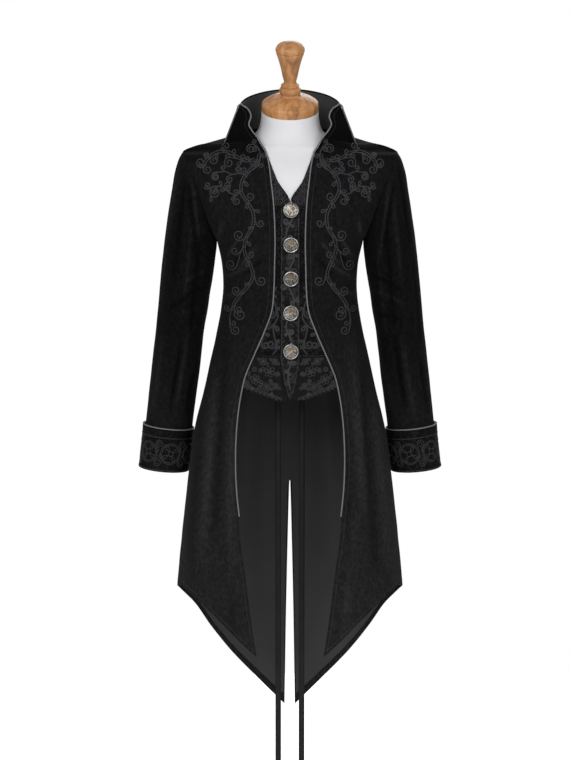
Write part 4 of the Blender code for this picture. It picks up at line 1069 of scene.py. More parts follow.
def dress_body():
    """Fronts, backs, tail linings and sleeves; gives the fronts for what is sewn on them."""
    front = front_grid()
    back = back_grid()
    rings = [ring_points(ring) for ring in SLEEVE]
    made = {}
    for side, word in SIDES.items():
        folds = BODY_FOLDS[side]
        points, normals, make = velvet("velvet_front_", "front_", front, side, folds, 2 + side, BODY_PAINTED_LEVELS)
        pull_in(points, "end", -SEAM_OVERLAP)
        made[side] = make()
        stitched("stitches_front_" + word, [inside_line(points, normals, "start", FRONT_FACING),
                                            inside_line(points, normals, "bottom", FRONT_HEM)])
        points, normals, make = velvet("velvet_back_", "back_", back, side, folds, 5 + side, BODY_PAINTED_LEVELS)
        pull_in(points, "end", -SEAM_OVERLAP)
        slit = points[:, 0, 2] < VENT_TOP_Z
        points[~slit, 0, 0] = -side * SEAM_OVERLAP
        pull_in(points, "top", -SEAM_OVERLAP)
        sheet = make()
        shares = np.interp(points[:, 0, 2], *BACK_SEAM)
        path, way = inside_line(points, normals, "start", 0, shares)
        seam = shares < BACK_SEAM[1][-1]
        stitched("stitches_back_" + word, [
            inside_line(points, normals, "bottom", TAIL_HEM_FACING),
            inside_line(points[slit], normals[slit], "start", TAIL_SLIT_FACING),
            (path[seam], way[seam]), (path[seam] + (TWIN_STITCH * side, 0, 0), way[seam])])
        lining = tail_lining(points, normals, back, word)
        make = velvet("velvet_sleeve_", "sleeve_", rings, side, SLEEVE_FOLDS[side], 9 + side, SLEEVE_PAINTED_LEVELS,
                      closed=True)[2]
        sheet = make()
    return made


def inside_line(points, normals, edge, distance, shares=None):
    """Points and normals at a distance inside a grid's edge, or at a row's share of the way across."""
    if edge in ("top", "bottom"):
        points = points.transpose(1, 0, 2)
        normals = normals.transpose(1, 0, 2)
    if edge in ("bottom", "end"):
        points = points[:, ::-1]
        normals = normals[:, ::-1]
    path = []
    for k, (line, face) in enumerate(zip(points, normals)):
        run = run_of(line)
        reach = distance if shares is None else run[-1] * shares[k]
        path.append((at_run(reach, run, line), at_run(reach, run, face)))
    return np.array(path).transpose(1, 0, 2)


def stitched(name, runs):
    """Rows of single stitches along lines on the cloth."""
    parts = []
    for path, normals in runs:
        run = run_of(path)
        for k in range(int(run[-1] / STITCH_PITCH) - 1):
            places = (k + 0.5) * STITCH_PITCH + STITCH * np.array((0.0, 0.2, 0.8, 1.0))
            lift = np.array((-0.4, 1.0, 1.0, -0.4)) * STITCH_RISE
            face = at_run(places, run, normals)
            parts.append(tube_mesh(at_run(places, run, path) + face * lift[:, None], face, *THREAD_SIZE, 5))
    piece(name, *joined(parts), THREAD_LOOK, slot="satin", smooth_angle=80)


def tail_lining(points, normals, back, word):
    """Satin inside a tail, short of its hem and of its slit by the velvet facing."""
    top = next(row[0].z for row in back if row[0].z < TAIL_LINING_TOP_Z)
    kept = fine(back, CLOTH_STEP)[:, 0, 2] < top + 1e-6
    cut = round(TAIL_HEM_FACING / CLOTH_STEP)
    points = points[kept][:-cut]
    normals = normals[kept][:-cut]
    slit = points[:, 0, 2] < VENT_TOP_Z
    inwards = unit(points[:, 1] - points[:, 0])
    points[slit, 0] += inwards[slit] * min(TAIL_SLIT_FACING, 0.8 * CLOTH_STEP)
    depth = VELVET + LINING_GAP
    return cloth("satin_tail_" + word, points, normals, depth, depth + SATIN, SATIN_LOOK, "satin",
                 "tail_lining_" + word)


def dress_collar():
    """The collar between the wings, and its lining."""
    grid = array(collar_grid())
    pull_in(grid, "top", PIPING_RADIUS)
    points, normals, lift = worn(grid, SMALL_STEP, 1, NO_FOLDS, 20, height=0.0003)
    for edge, amount in (("start", 1), ("end", 1), ("bottom", 2)):
        pull_in(points, edge, -amount * SEAM_OVERLAP)
    stitched("stitches_collar", [inside_line(points, normals, "top", COLLAR_STITCHING)])
    # The collar's velvet carries one painted level of lightness
    sheet = cloth("velvet_collar", points, normals, 0, VELVET, VELVET_LOOK, "velvet", "collar",
                  nap=painted_fold_light(lift, COLLAR_PAINTED_LEVEL))
    for edge in ("start", "end", "top", "bottom"):
        pull_in(grid, edge, LINING_INSET)
    points, normals, _ = worn(grid, SMALL_STEP, 1, NO_FOLDS, 20, height=0.0003)
    depth = VELVET + LINING_GAP
    # Its lining has the lighter satin, with painted light
    sheet = cloth("satin_collar", points, normals, depth, depth + SATIN, LIT_NECK_SATIN_LOOK, "satin",
                  "collar_lining")


def dress_cuffs():
    """Turned-back cuffs; gives each one's grid for its figures."""
    made = {}
    rings = [ring_points(ring) for ring in CUFF]
    for side, word in SIDES.items():
        points, normals, _ = worn(rings, SMALL_STEP, side, NO_FOLDS, 30 + side, closed=True,
                                  height=0.0009, scale=14)
        sheet = cloth("brocade_cuff_" + word, points, normals, 0, VELVET, BROCADE_LOOK, "brocade",
                      "cuff_" + word, closed=True)
        made[side] = (points, normals)
    return made


def dress_waistcoat():
    """Yokes, waistcoat fronts, hip panels and the buttonhole band, by name."""
    made = {}
    depth = VEST_DEPTH + VEST_CLOTH
    inner = VEST_DEPTH - LAYER_GAP
    for side, word in SIDES.items():
        for name, grid, look, slot, node in (
                ("brocade_yoke_", yoke_grid(), YOKE_LOOK, "brocade", "waistcoat_yoke_"),
                ("brocade_waistcoat_", vest_grid(side > 0), BROCADE_LOOK, "brocade", "waistcoat_"),
                ("lace_hip_", hip_grid(side > 0), LACE_LOOK, "lace", "waistcoat_hip_")):
            points, normals, _ = worn(grid, SMALL_STEP, side, NO_FOLDS, 40, height=0.0004, scale=30)
            made[name + word] = cloth(name + word, points, normals, VEST_DEPTH, depth, look, slot,
                                      node + word)
    band = [row[:4] for row in vest_grid(True) + hip_grid(True)[1:] if row[0].x < 0]
    points, normals, _ = worn(band, SMALL_STEP, 1, NO_FOLDS, 40, height=0.0004, scale=30)
    made["brocade_band"] = cloth("brocade_band", points, normals, inner - BAND_CLOTH, inner, BAND_PAINTED_SHEEN_LOOK,
                                 "brocade", "placket")
    return made


# Trim

def piping_path():
    """The CAD cord's path up the front edge, round the wing's tip and down its outer seam."""
    points = array(front_grid())
    pull_in(points, "end", SEAM)
    normals = fine_normals(points)
    clear = PIPING_RADIUS + PIPING_GAP
    edge = points[:, 0]
    count = np.count_nonzero(edge[:, 2] > PIPING_END_Z)
    along = unit(np.concatenate([edge[:1], edge[:count - 1]]) - edge[1:count + 1])
    outwards = square_to(edge[:count] - points[:count, 1], along)
    rise = edge[:count] - normals[:count, 0] * PIPING_DEPTH + outwards * clear
    way = np.array(WING_SEAM_WAY)
    tip = (edge[0] + points[0, -1]) / 2 - normals[0, 0] * PIPING_DEPTH + way * (clear + TIP_CLEARANCE)
    face = normals[:len(WING), -2]
    side = np.array(WING_SEAM_SIDE)
    ridge = square_to(face + side * (1 - face @ side)[:, None], way)
    fall = points[:len(WING), -1] + ridge * clear
    fall[-1] += way * PIPING_STOP
    return np.concatenate([rise[::-1], tip[None], fall])


def square_to(vectors, way):
    """Unit vectors turned square to a way."""
    return unit(vectors - way * (vectors * way).sum(axis=-1, keepdims=True))


def rope(name, path, radius, node, closed=False, pitch=0.0052, sides=10, step=0.0009):
    """A two-strand twisted cord."""
    path = smooth(path[:, None, :], step, closed)[:, 0]
    along = unit(direction(path, closed))
    side = np.zeros_like(path)
    side[0] = tuple(Vector(along[0]).orthogonal().normalized())
    for i in range(1, len(path)):
        side[i] = square_to(side[i - 1], along[i])
    up = np.cross(along, side)
    turn = circle_of(sides)
    twist = turn[None, :] - 2 * np.pi * (run_of(path) / pitch)[:, None]
    reach = radius * (0.72 + 0.36 * np.abs(np.cos(twist)))
    points = path[:, None] + (side[:, None] * np.cos(turn)[None, :, None]
                              + up[:, None] * np.sin(turn)[None, :, None]) * reach[..., None]
    made = piece(name, points.reshape(-1, 3), ring_faces(len(path), sides, closed), PIPING_LOOK,
                 slot="piping", smooth_angle=80)
    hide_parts(node)


def trim_pipings():
    """Cords along the fronts and on top of the cuffs."""
    path = piping_path()
    rings = array([ring_points(ring) for ring in CUFF])
    ring = rings[0] - fine_normals(rings, closed=True)[0] * (VELVET / 2) + (0, 0, PIPING_RADIUS + LAYER_GAP)
    for side, word in SIDES.items():
        rope("twisted_piping_" + word, path if side > 0 else flipped(path), 0.00145, "piping_" + word)
        rope("twisted_cuff_piping_" + word, ring if side > 0 else flipped(ring), 0.0014,
             "cuff_piping_" + word, closed=True)


# Raised cords: scrolls are drawn as seen from the front, and pressed on to the cloth

CORD_STEP = 0.0011
BEAD_PITCH = 0.0044


def polar(x, z, radius, angle):
    return x + radius * math.cos(angle), z + radius * math.sin(angle)


def shifted(x, z, a, b, angle):
    """A point (a, b) of a motif drawn about the origin, turned and put at a place."""
    c = math.cos(angle)
    s = math.sin(angle)
    return x + a * c - b * s, z + a * s + b * c


def curl(x, z, radius, start, turns, inner=0.22):
    """A spiral from its outer end to its eye; start is in degrees."""
    steps = max(8, int(abs(turns) * 16))
    shares = [k / steps for k in range(steps + 1)]
    return [polar(x, z, radius * (1 - (1 - inner) * share), math.radians(start) + 2 * math.pi * turns * share)
            for share in shares]


def oval(x, z, half_x, half_z, lean=0.0):
    """A closed oval."""
    angles = [2 * math.pi * k / 24 for k in range(25)]
    return [shifted(x, z, half_x * math.cos(a), half_z * math.sin(a), lean) for a in angles]


def leaf(x, z, length, width, way):
    """A pointed loop that starts and ends in one place; way is in degrees."""
    return [shifted(x, z, length * math.sin(math.pi * k / 16)**0.8, width * math.sin(math.pi * k / 8),
                    math.radians(way)) for k in range(17)]


def drawn(places, step=CORD_STEP):
    """A smooth line through places on the drawing."""
    return smooth(np.array([[(x, 0.0, z)] for x, z in places]), step)[:, 0]


def twin(line, gap):
    """A line beside another one."""
    along = unit(direction(line))
    return line + np.stack([-along[:, 2], along[:, 1] * 0, along[:, 0]], axis=1) * gap


def laid(made, lines, rise, side=1):
    """Drawn lines laid on a piece of cloth, on the wearer's left (1) or right (-1)."""
    tree = BVHTree.FromPolygons([v.co for v in made.data.vertices], [p.vertices for p in made.data.polygons])
    return [run for line in lines for run in pressed(tree, line * np.array((side, 1, 1)), rise)]


def pressed(tree, line, rise):
    """The pieces of a drawn line that meet the cloth, laid on it at this rise; y is looked along."""
    runs = []
    run = []
    for x, _, z in line:
        spot, normal, _, _ = tree.ray_cast(Vector((x, -1, z)), Vector((0, 1, 0)))
        met = spot is not None and spot.y < 0.02
        if not met or (run and abs(spot.y - run[-1][0][1]) > 0.006):
            runs.append(run)
            run = []
        if met:
            normal = normal if normal.y < 0 else -normal
            run.append((tuple(spot + normal * rise), tuple(normal)))
    runs.append(run)
    return [np.array(r).transpose(1, 0, 2) for r in runs if len(r) > 3]


# Width and height of the cords laid on the cloth
SOUTACHE_SIZE = (0.0026, 0.0023)
FIGURE_SIZE = (0.0014, 0.0012)
VINE_SIZE = (0.0032, 0.0013)
BAND_VINE_SIZE = (0.003, 0.0013)
BAND_EDGE_SIZE = (0.0012, 0.0013)
CUFF_FIGURE_SIZE = (0.0018, 0.0014)


def corded(name, runs, size, look, slot, sides=8, groove=0.0, bead=0.0):
    """One piece of many cords; each run holds its points and the cloth's normals."""
    parts = []
    for path, normals in runs:
        for _ in range(2):
            padded = np.concatenate([normals[:1], normals, normals[-1:]])
            normals = (padded[:-2] + padded[1:-1] + padded[2:]) / 3
        parts.append(tube_mesh(path, normals, *size, sides, groove, bead))
    piece(name, *joined(parts), look, slot=slot, smooth_angle=80)


# The coat's scrollwork on the wearer's left: stems, tendrils off them, and leaves
Tendril = namedtuple("Tendril", "share hand reach radius turns")


def scroll(places, eye, *tendrils):
    """A stem through places, the curl that may end it, and its tendrils; sizes are in millimetres."""
    line = [(x / 1000, z / 1000) for x, z in places]
    if eye:
        x, z, radius, start, turns = eye
        line += curl(x / 1000, z / 1000, radius / 1000, start, turns)
    return line, [Tendril(share, hand, reach / 1000, radius / 1000, turns)
                  for share, hand, reach, radius, turns in tendrils]


SCROLLS = [
    scroll([(58, 1474), (63, 1456), (78, 1441), (91, 1423), (92, 1401), (79, 1382), (69, 1360), (71, 1334),
            (84, 1311), (87, 1287), (76, 1263), (70, 1240), (81, 1216), (99, 1195), (109, 1170)],
           (98.5, 1162, 12, 35, -1.5), (0.03, -1, 6, 5.2, 1.2), (0.09, 1, 10, 7.4, 1.4),
           (0.2, -1, 12, 9.2, 1.4), (0.34, -1, 10, 7.8, 1.3), (0.42, 1, 16, 11.6, 1.5),
           (0.5, -1, 10, 7.8, 1.3), (0.63, -1, 12, 10.4, 1.4), (0.72, 1, 14, 9.6, 1.4),
           (0.79, -1, 10, 8.8, 1.35)),
    scroll([(68, 1462), (84, 1460), (102, 1466), (120, 1476), (139, 1477), (155, 1468), (165, 1455)],
           (175, 1458, 10.8, 200, 1.45), (0.1, 1, 8, 6.2, 1.2), (0.2, -1, 14, 10.4, 1.5),
           (0.32, 1, 12, 8, 1.35), (0.42, -1, 14, 9.2, 1.45), (0.52, 1, 10, 6.4, 1.3),
           (0.6, -1, 12, 8.8, 1.4)),
    scroll([(92, 1408), (102, 1398), (117, 1400), (130, 1411), (143, 1413)],
           (146, 1401, 12, 100, -1.5), (0.1, -1, 10, 8.2, 1.4), (0.28, 1, 8, 6.6, 1.3),
           (0.38, -1, 12, 8.6, 1.4), (0.52, 1, 8, 6, 1.25)),
    scroll([(86, 1300), (96, 1286), (101, 1268), (108, 1252)],
           (116.5, 1259, 11, 220, 1.45), (0.12, 1, 10, 8, 1.35)),
    scroll([(101, 1190), (113, 1174), (119, 1154), (117, 1134)],
           (107.5, 1131, 9.5, 15, -1.4), (0.16, 1, 10, 6.8, 1.3), (0.36, -1, 10, 6, 1.2)),
    scroll([(76, 1443), (62, 1454), (58, 1472), (64, 1488), (74, 1494)],
           (77, 1485, 8.8, 90, -1.5), (0.12, -1, 6, 5.6, 1.3), (0.26, 1, 5, 5, 1.3),
           (0.38, -1, 6, 5.8, 1.4), (0.5, 1, 5, 4.6, 1.2)),
    scroll([(83, 1430), (97, 1438), (112, 1436), (126, 1441), (142, 1440)],
           (145, 1431.5, 8.8, 90, -1.5), (0.14, 1, 6, 5.8, 1.4), (0.26, -1, 8, 7.2, 1.45),
           (0.4, 1, 6, 5.4, 1.3), (0.52, -1, 7, 6.2, 1.4)),
]
Leaf = namedtuple("Leaf", "share lean length")
LEAVES = [Leaf(0.055, 55, 0.012), Leaf(0.15, -60, 0.013), Leaf(0.255, 50, 0.014), Leaf(0.3, -50, 0.012),
          Leaf(0.385, 55, 0.011), Leaf(0.46, -55, 0.012), Leaf(0.56, 60, 0.013), Leaf(0.68, 50, 0.012)]


def leaf_on(line, part):
    """A pointed loop that stands off a stem at an angle to it."""
    i = int(part.share * (len(line) - 2))
    way = line[i + 1] - line[i]
    lean = math.degrees(math.atan2(way[2], way[0])) + part.lean
    return leaf(line[i][0], line[i][2], part.length, part.length * 0.2, lean)


def tendril(line, part):
    """A curl that leaves a stem along its own way and bends off to one side."""
    i = int(part.share * (len(line) - 2))
    way = line[i + 1] - line[i]
    way /= np.linalg.norm(way)
    off = np.array((-way[2], 0, way[0])) * part.hand
    start = line[i]
    middle = start + way * part.reach * 0.5 + off * part.reach * 0.08
    centre = start + way * part.reach + off * (0.25 * part.reach + part.radius)
    angle = math.degrees(math.atan2(-off[2], -off[0]))
    return ([(start[0], start[2]), (middle[0], middle[2])]
            + curl(centre[0], centre[2], part.radius, angle, part.turns * part.hand))


def coat_scrolls(fronts):
    """Braid in scrolls on each front, in the cloth's own black."""
    stems = [drawn(places) for places, _ in SCROLLS]
    lines = stems + [twin(stem[:int(0.84 * len(stem))], 0.0046) for stem in stems[:2]]
    for stem, (_, tendrils) in zip(stems, SCROLLS):
        lines += [drawn(tendril(stem, part)) for part in tendrils]
    for stem in stems[:3]:
        lines += [drawn(leaf_on(stem, part)) for part in LEAVES]
    for side, word in SIDES.items():
        corded("soutache_" + word, laid(fronts[side], lines, 0.0002, side), SOUTACHE_SIZE, SOUTACHE_LOOK,
               "satin", groove=0.3, bead=0.42)


VEST_VINE = scroll([(26, 1218), (34, 1200), (28, 1180), (24, 1160), (33, 1140), (30, 1118), (25, 1100),
                    (34, 1086)],
                   None, (0.1, 1, 6, 6, 1.3), (0.3, 1, 10, 10, 1.5), (0.55, 1, 8, 11, 1.5),
                   (0.78, 1, 6, 9, 1.4), (0.86, -1, 4, 4.5, 1.1))
VEST_SIDE_VINE = scroll([(47, 1160), (56, 1142), (52, 1124), (58, 1106), (70, 1090)],
                        None, (0.2, -1, 6, 6, 1.3), (0.45, 1, 8, 9, 1.4), (0.66, -1, 6, 7.5, 1.4))
BAND_VINE = scroll([(-2, 1378), (7, 1362), (0, 1342), (-8, 1322), (0, 1300), (8, 1278), (0, 1256),
                    (-8, 1234), (0, 1212), (8, 1188), (0, 1164), (-8, 1140), (0, 1118), (7, 1092),
                    (0, 1066), (-4, 1040), (1, 1018)],
                   None, (0.03, -1, 6, 5, 1.3), (0.085, -1, 8, 6.2, 1.45), (0.16, 1, 8, 6.6, 1.4),
                   (0.255, -1, 8, 6, 1.45), (0.33, 1, 9, 6.8, 1.4), (0.425, -1, 8, 6.4, 1.45),
                   (0.51, 1, 8, 6.2, 1.4), (0.6, -1, 9, 6.8, 1.45), (0.68, 1, 8, 6, 1.4),
                   (0.77, -1, 7, 6.2, 1.4), (0.84, 1, 6, 4.6, 1.3), (0.9, -1, 4, 3.6, 1.2))


def vine(places, tendrils):
    """A running stem with its tendrils and a few leaves."""
    stem = drawn(places)
    return ([stem] + [drawn(tendril(stem, part)) for part in tendrils]
            + [drawn(leaf_on(stem, Leaf(part.share + 0.02, -60 * part.hand, part.radius * 1.3)))
               for part in tendrils])


YOKE_DOT_HEIGHTS = (1.384, 1.398, 1.412, 1.428, 1.445)


def vest_figures(vest):
    """Figures woven in relief on the yokes, the fronts, the band and the hips."""
    dots = []
    for row, z in enumerate(YOKE_DOT_HEIGHTS):
        for column in range(4):
            x = 0.0065 + 0.0125 * column + 0.0055 * (row % 2)
            dots += [oval(x, z, 0.0042, 0.0056, 0.35), curl(x + 0.0061, z + 0.007, 0.0034, 250, 1.0)]
    dots = [drawn(places) for places in dots]
    vines = vine(*VEST_VINE) + vine(*VEST_SIDE_VINE)
    for side, word in SIDES.items():
        corded("figure_yoke_" + word, laid(vest["brocade_yoke_" + word], dots, 0.0, side), FIGURE_SIZE,
               THREAD_LOOK, "brocade", sides=6)
        corded("figure_waistcoat_" + word, laid(vest["brocade_waistcoat_" + word], vines, 0.0, side),
               VINE_SIZE, FIGURE_LOOK, "brocade", sides=6)
        hip_net(vest["lace_hip_" + word], side, word)
    band_scrolls(vest["brocade_band"])


# Lace: the net's lozenges from one height to another, then rosettes, rings and scallops
NET_PITCH = 0.0062
NET_WIDTH = 0.06
NET_HEIGHTS = (0.985, 1.035, 1.085)
ROSETTES = table(
    "x z size",
    (40, 1052, 1000), (68, 1036, 900), (53, 1072, 700), (46, 1022, 800), (30, 1072, 600), (86, 1028, 600),
    (28, 1024, 600))
RINGS = table(
    "x z radius",
    (24, 1048, 4), (58, 1054, 3.6), (82, 1048, 3.6), (70, 1056, 4.4), (38, 1034, 3.4), (60, 1020, 4),
    (98, 1034, 3.4), (36, 1008, 3.2), (74, 1018, 3))
SCALLOP_ANGLES = (0.15, 0.8, 1.57, 2.34, 2.99)


def hip_net(hip, side, word):
    """Lace: a net of threads with figures on it, and a scalloped border along the hem."""
    net = []
    for k in range(-16, 34):
        ways = [NET_PITCH * k + NET_WIDTH * part for part in (0, 0.5, 1)]
        net += [drawn(zip(ways, NET_HEIGHTS), 0.003), drawn(zip(ways[::-1], NET_HEIGHTS), 0.003)]
    corded("lace_net_" + word, laid(hip, net, 0.0, side), THREAD_SIZE, NET_LOOK, "lace", sides=5)
    figures = []
    for x, z, size in ROSETTES:
        figures += [leaf(x, z, 0.0105 * size, 0.003 * size, way) for way in range(18, 378, 60)]
        figures.append(oval(x, z, 0.0022 * size, 0.0022 * size))
        figures.append(curl(x + 0.013 * size, z + 0.004, 0.005 * size, 200, -1.3))
        figures.append(curl(x - 0.013 * size, z - 0.004, 0.005 * size, 20, -1.3))
    for x, z, radius in RINGS:
        figures += [oval(x, z, radius, radius), oval(x, z, radius / 2, radius / 2)]
    for k in range(13):
        x = 0.0225 + 0.008 * k
        z = follow(HIP_HEM, "x", "z", x) + 0.0035
        figures += [[polar(x, z, reach, a) for a in SCALLOP_ANGLES] for reach in (0.0042, 0.0072)]
    lines = [drawn(places) for places in figures]
    corded("lace_figure_" + word, laid(hip, lines, 0.0002, side), FIGURE_SIZE, THREAD_LOOK, "lace", sides=6)


def band_scrolls(band):
    """A running vine down the buttonhole band, behind the buttons, and a thread along each edge."""
    heights = [z for z in np.linspace(1.372, 1.004, 60) if lap_half(z) > 0.0035]
    edges = [np.array([(side * (lap_half(z) - 0.0022), 0, z) for z in heights]) for side in (1, -1)]
    for name, lines, size in (("figure_band", vine(*BAND_VINE), BAND_VINE_SIZE),
                              ("edge_band", edges, BAND_EDGE_SIZE)):
        corded(name, laid(band, lines, 0.0), size, THREAD_LOOK, "brocade", sides=6)


def ring_length(points):
    """Length of a closed grid's first row."""
    return np.linalg.norm(np.roll(points[0], -1, axis=0) - points[0], axis=1).sum()


def on_ring(grid, around, down):
    """Points and normals on a closed grid, by metres round it and down from its top."""
    points = grid[0]
    rows, columns = points.shape[:2]
    j = np.mod(np.asarray(around) / ring_length(points), 1) * columns
    i = np.clip(np.asarray(down) / run_of(points[:, 0])[-1], 0, 1) * (rows - 1)
    low_i = np.minimum(i.astype(int), rows - 2)
    low_j = j.astype(int) % columns
    next_j = (low_j + 1) % columns
    a = (i - low_i)[:, None]
    b = (j - j.astype(int))[:, None]
    return [(field[low_i, low_j] * (1 - a) + field[low_i + 1, low_j] * a) * (1 - b)
            + (field[low_i, next_j] * (1 - a) + field[low_i + 1, next_j] * a) * b for field in grid]


# The cuffs' figures: circles in the middle of the cuff, and the lean of each one's spokes
CUFF_PITCH = 0.05
CUFF_MIDDLE = -0.048
CUFF_CIRCLES = (0.0215, 0.0185, 0.005)
CUFF_LEAF = leaf(0.005, 0, 0.0125, 0.003, 0)
CUFF_LEANS = (0, 14, -9, 6, -16)


def cuff_figures(cuffs):
    """Circles with crossed spokes, scrolls between them, and a thread along each edge."""
    for side, word in SIDES.items():
        ring = ring_length(cuffs[side][0])
        count = round(ring / CUFF_PITCH)
        pitch = ring / count
        lines = []
        for k in range(count):
            x = pitch * (k + 0.5)
            z = CUFF_MIDDLE
            figures = [oval(x, z, radius, radius) for radius in CUFF_CIRCLES]
            for way in (45, 135, 225, 315):
                lean = math.radians(way + CUFF_LEANS[k % len(CUFF_LEANS)])
                figures.append([shifted(x, z, a, b, lean) for a, b in CUFF_LEAF])
            for up in (1, -1):
                figures.append(curl(x + pitch / 2, z + 0.0195 * up, 0.009, 270 * up, 1.75 * up))
                figures.append(curl(x + pitch / 2 + 0.0035 * up, z + 0.006 * up, 0.0046, 90 * up, -1.3))
            lines += [drawn(places) for places in figures]
        for edge in (-0.0165, -0.0835):
            lines.append(np.array([(ring * k / 160, 0, edge) for k in range(161)]))
        runs = [on_ring(cuffs[side], line[:, 0], -line[:, 2]) for line in lines]
        corded("figure_cuff_" + word, runs, CUFF_FIGURE_SIZE, FIGURE_LOOK, "brocade", sides=5)


# Dress form, stand and buttons

def whole_form():
    rings = fine(form_rings(), FORM_STEP, closed=True)
    made = piece("jersey_form", rings.reshape(-1, 3), ring_faces(*rings.shape[:2]), JERSEY_LOOK, slot="jersey")
    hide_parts("form_torso")
    tilt = Matrix.Rotation(math.radians(NECK_TILT), 4, "X")
    place = Matrix.Translation(CAP_CENTRE + tilt @ Vector((0, 0, REST_GAP))) @ tilt
    made = piece("turned_cap", *turned_mesh(CAP_PROFILE, 72, place, step=0.0016), WOOD_LOOK, slot="wood",
                 smooth_angle=60)
    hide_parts("neck_cap")


FORM_STEP = 0.006


# Room, lamps (name, place, size, power) and camera
ROOM_LIGHT = 0.42
FLOOR_GLOW = 0.6
FLOOR_HALF = 1.5
LAMPS = (("key", (-1.5, -3.6, 3.0), 2.0, 105), ("fill", (1.9, -3.4, 2.2), 2.2, 60),
         ("rim", (0.6, 2.8, 3.2), 2.0, 45))
LIT_PLACE = Vector((0, 0, 1.15))
CAMERA_PLACE = (-0.01, -4.0, 1.52)
CAMERA_DIP = 7.1
CAMERA_LENS = 94.74


def stage():
    """Pale floor, soft light and the photograph's view."""
    floor = Look("floor", (0.9, 0.9, 0.9), 0.9, Specular_IOR_Level=0.1)
    grained(floor, ((3, 2), [(0.3, (0.93, 0.93, 0.93)), (0.7, (0.95, 0.95, 0.95))]))
    floor.shader.inputs["Emission Color"].default_value = (1, 1, 1, 1)
    floor.shader.inputs["Emission Strength"].default_value = FLOOR_GLOW
    mesh = bpy.data.meshes.new("floor")
    corners = [(x * FLOOR_HALF, y * FLOOR_HALF, 0) for x, y in ((-1, -1), (1, -1), (1, 1), (-1, 1))]
    mesh.from_pydata(corners, [], [(0, 1, 2, 3)])
    mesh.materials.append(floor.material)
    ground = linked("floor", mesh)
    world = bpy.data.worlds.new("studio")
    world.use_nodes = True
    tree = world.node_tree
    sky = tree.nodes["Background"]
    sky.inputs["Color"].default_value = (1, 1, 1, 1)
    strength = tree.nodes.new("ShaderNodeMapRange")
    strength.inputs["To Min"].default_value = ROOM_LIGHT
    strength.inputs["To Max"].default_value = 1.0
    tree.links.new(tree.nodes.new("ShaderNodeLightPath").outputs["Is Camera Ray"], strength.inputs["Value"])
    tree.links.new(strength.outputs[0], sky.inputs["Strength"])
    bpy.context.scene.world = world
    for name, place, size, power in LAMPS:
        light = bpy.data.lights.new(name, "AREA")
        light.energy = power
        light.size = size
        lamp = linked(name, light)
        lamp.location = place
        lamp.rotation_euler = (LIT_PLACE - Vector(place)).to_track_quat("-Z", "Y").to_euler()
    camera = bpy.data.cameras.new("camera")
    camera.lens = CAMERA_LENS
    camera.sensor_width = 36
    view = linked("camera", camera)
    view.location = CAMERA_PLACE
    view.rotation_euler = (math.radians(90 - CAMERA_DIP), 0, 0)
    bpy.context.scene.camera = view
    bpy.context.scene.view_settings.view_transform = "Standard"


# A wheel of the clockwork: place, radius, teeth, heights above the plate, spokes and finish
Gear = namedtuple("Gear", "x y radius teeth low high spokes finish")
GEARS = [
    Gear(0.0056, 0.0014, 0.005, 26, 0.0002, 0.0007, 4, 1),
    Gear(-0.0062, 0.0006, 0.0054, 30, 0.0002, 0.0006, 5, 0),
    Gear(0.0034, -0.0068, 0.0042, 20, 0.0004, 0.001, 3, 0),
    Gear(-0.002, -0.0084, 0.0026, 14, 0.0002, 0.0007, 0, 1),
    Gear(0.0018, 0.0078, 0.0034, 18, 0.0002, 0.0008, 4, 0),
    Gear(-0.0068, 0.0076, 0.0021, 12, 0.0003, 0.0008, 0, 1),
    Gear(0.0092, -0.0034, 0.002, 12, 0.0003, 0.0008, 0, 0),
]
PLATE_RADIUS = 0.0125
PLATE_TOP = 0.0003
BRIDGE_LOW = 0.001
BRIDGE_TOP = 0.0015
BRIDGE_BAR = [(-0.0034, 0.0104), (-0.0016, 0.0052), (-0.0006, 0.0), (0.001, -0.0042)]
SCREWS = [(-0.0034, 0.0104), (0.001, -0.0042), (0.0088, 0.0066), (-0.0082, -0.0062), (0.0072, -0.0092)]
JEWELS = [(0.0056, 0.0014), (-0.0062, 0.0006), (0.0034, -0.0068), (-0.001, 0.0022)]
CASE_FLOOR = 0.0044
CASE_PROFILE = table(
    "radius height",
    (0, 0), (3.8, 0), (4, 1.4), (10, 1.7), (13.8, 1.9), (14.7, 2.4), (15, 3.1), (15, 5), (14.8, 5.6),
    (14.3, 6), (13.6, 6.2), (13.1, 6), (12.9, 5.5), (12.8, 4.6), (12.6, 4.4), (0, 4.4))


def prism(outline, low, high, inner=None):
    """Points and faces of a flat form between two heights, with a hole if inner is given."""
    count = len(outline)
    after = [(k + 1) % count for k in range(count)]
    points = [(x, y, z) for z in (low, high) for x, y in outline]
    sides = [(k, n, count + n, count + k) for k, n in enumerate(after)]
    if inner is None:
        return points, sides + [tuple(range(count)), tuple(range(count, 2 * count))]
    points += [(x, y, z) for z in (low, high) for x, y in inner]
    faces = sides + [tuple(i + 2 * count for i in side) for side in sides]
    for k, n in enumerate(after):
        faces.append((k, n, 2 * count + n, 2 * count + k))
        faces.append((count + k, count + n, 3 * count + n, 3 * count + k))
    return points, faces


def circle(x, y, radius, count=16):
    return [polar(x, y, radius, 2 * math.pi * k / count) for k in range(count)]


def bar(start, end, width):
    """Outline of a straight bar."""
    a = Vector(start)
    b = Vector(end)
    way = b - a
    off = Vector((-way.y, way.x)).normalized() * width / 2
    return [tuple(a + off), tuple(a - off), tuple(b - off), tuple(b + off)]


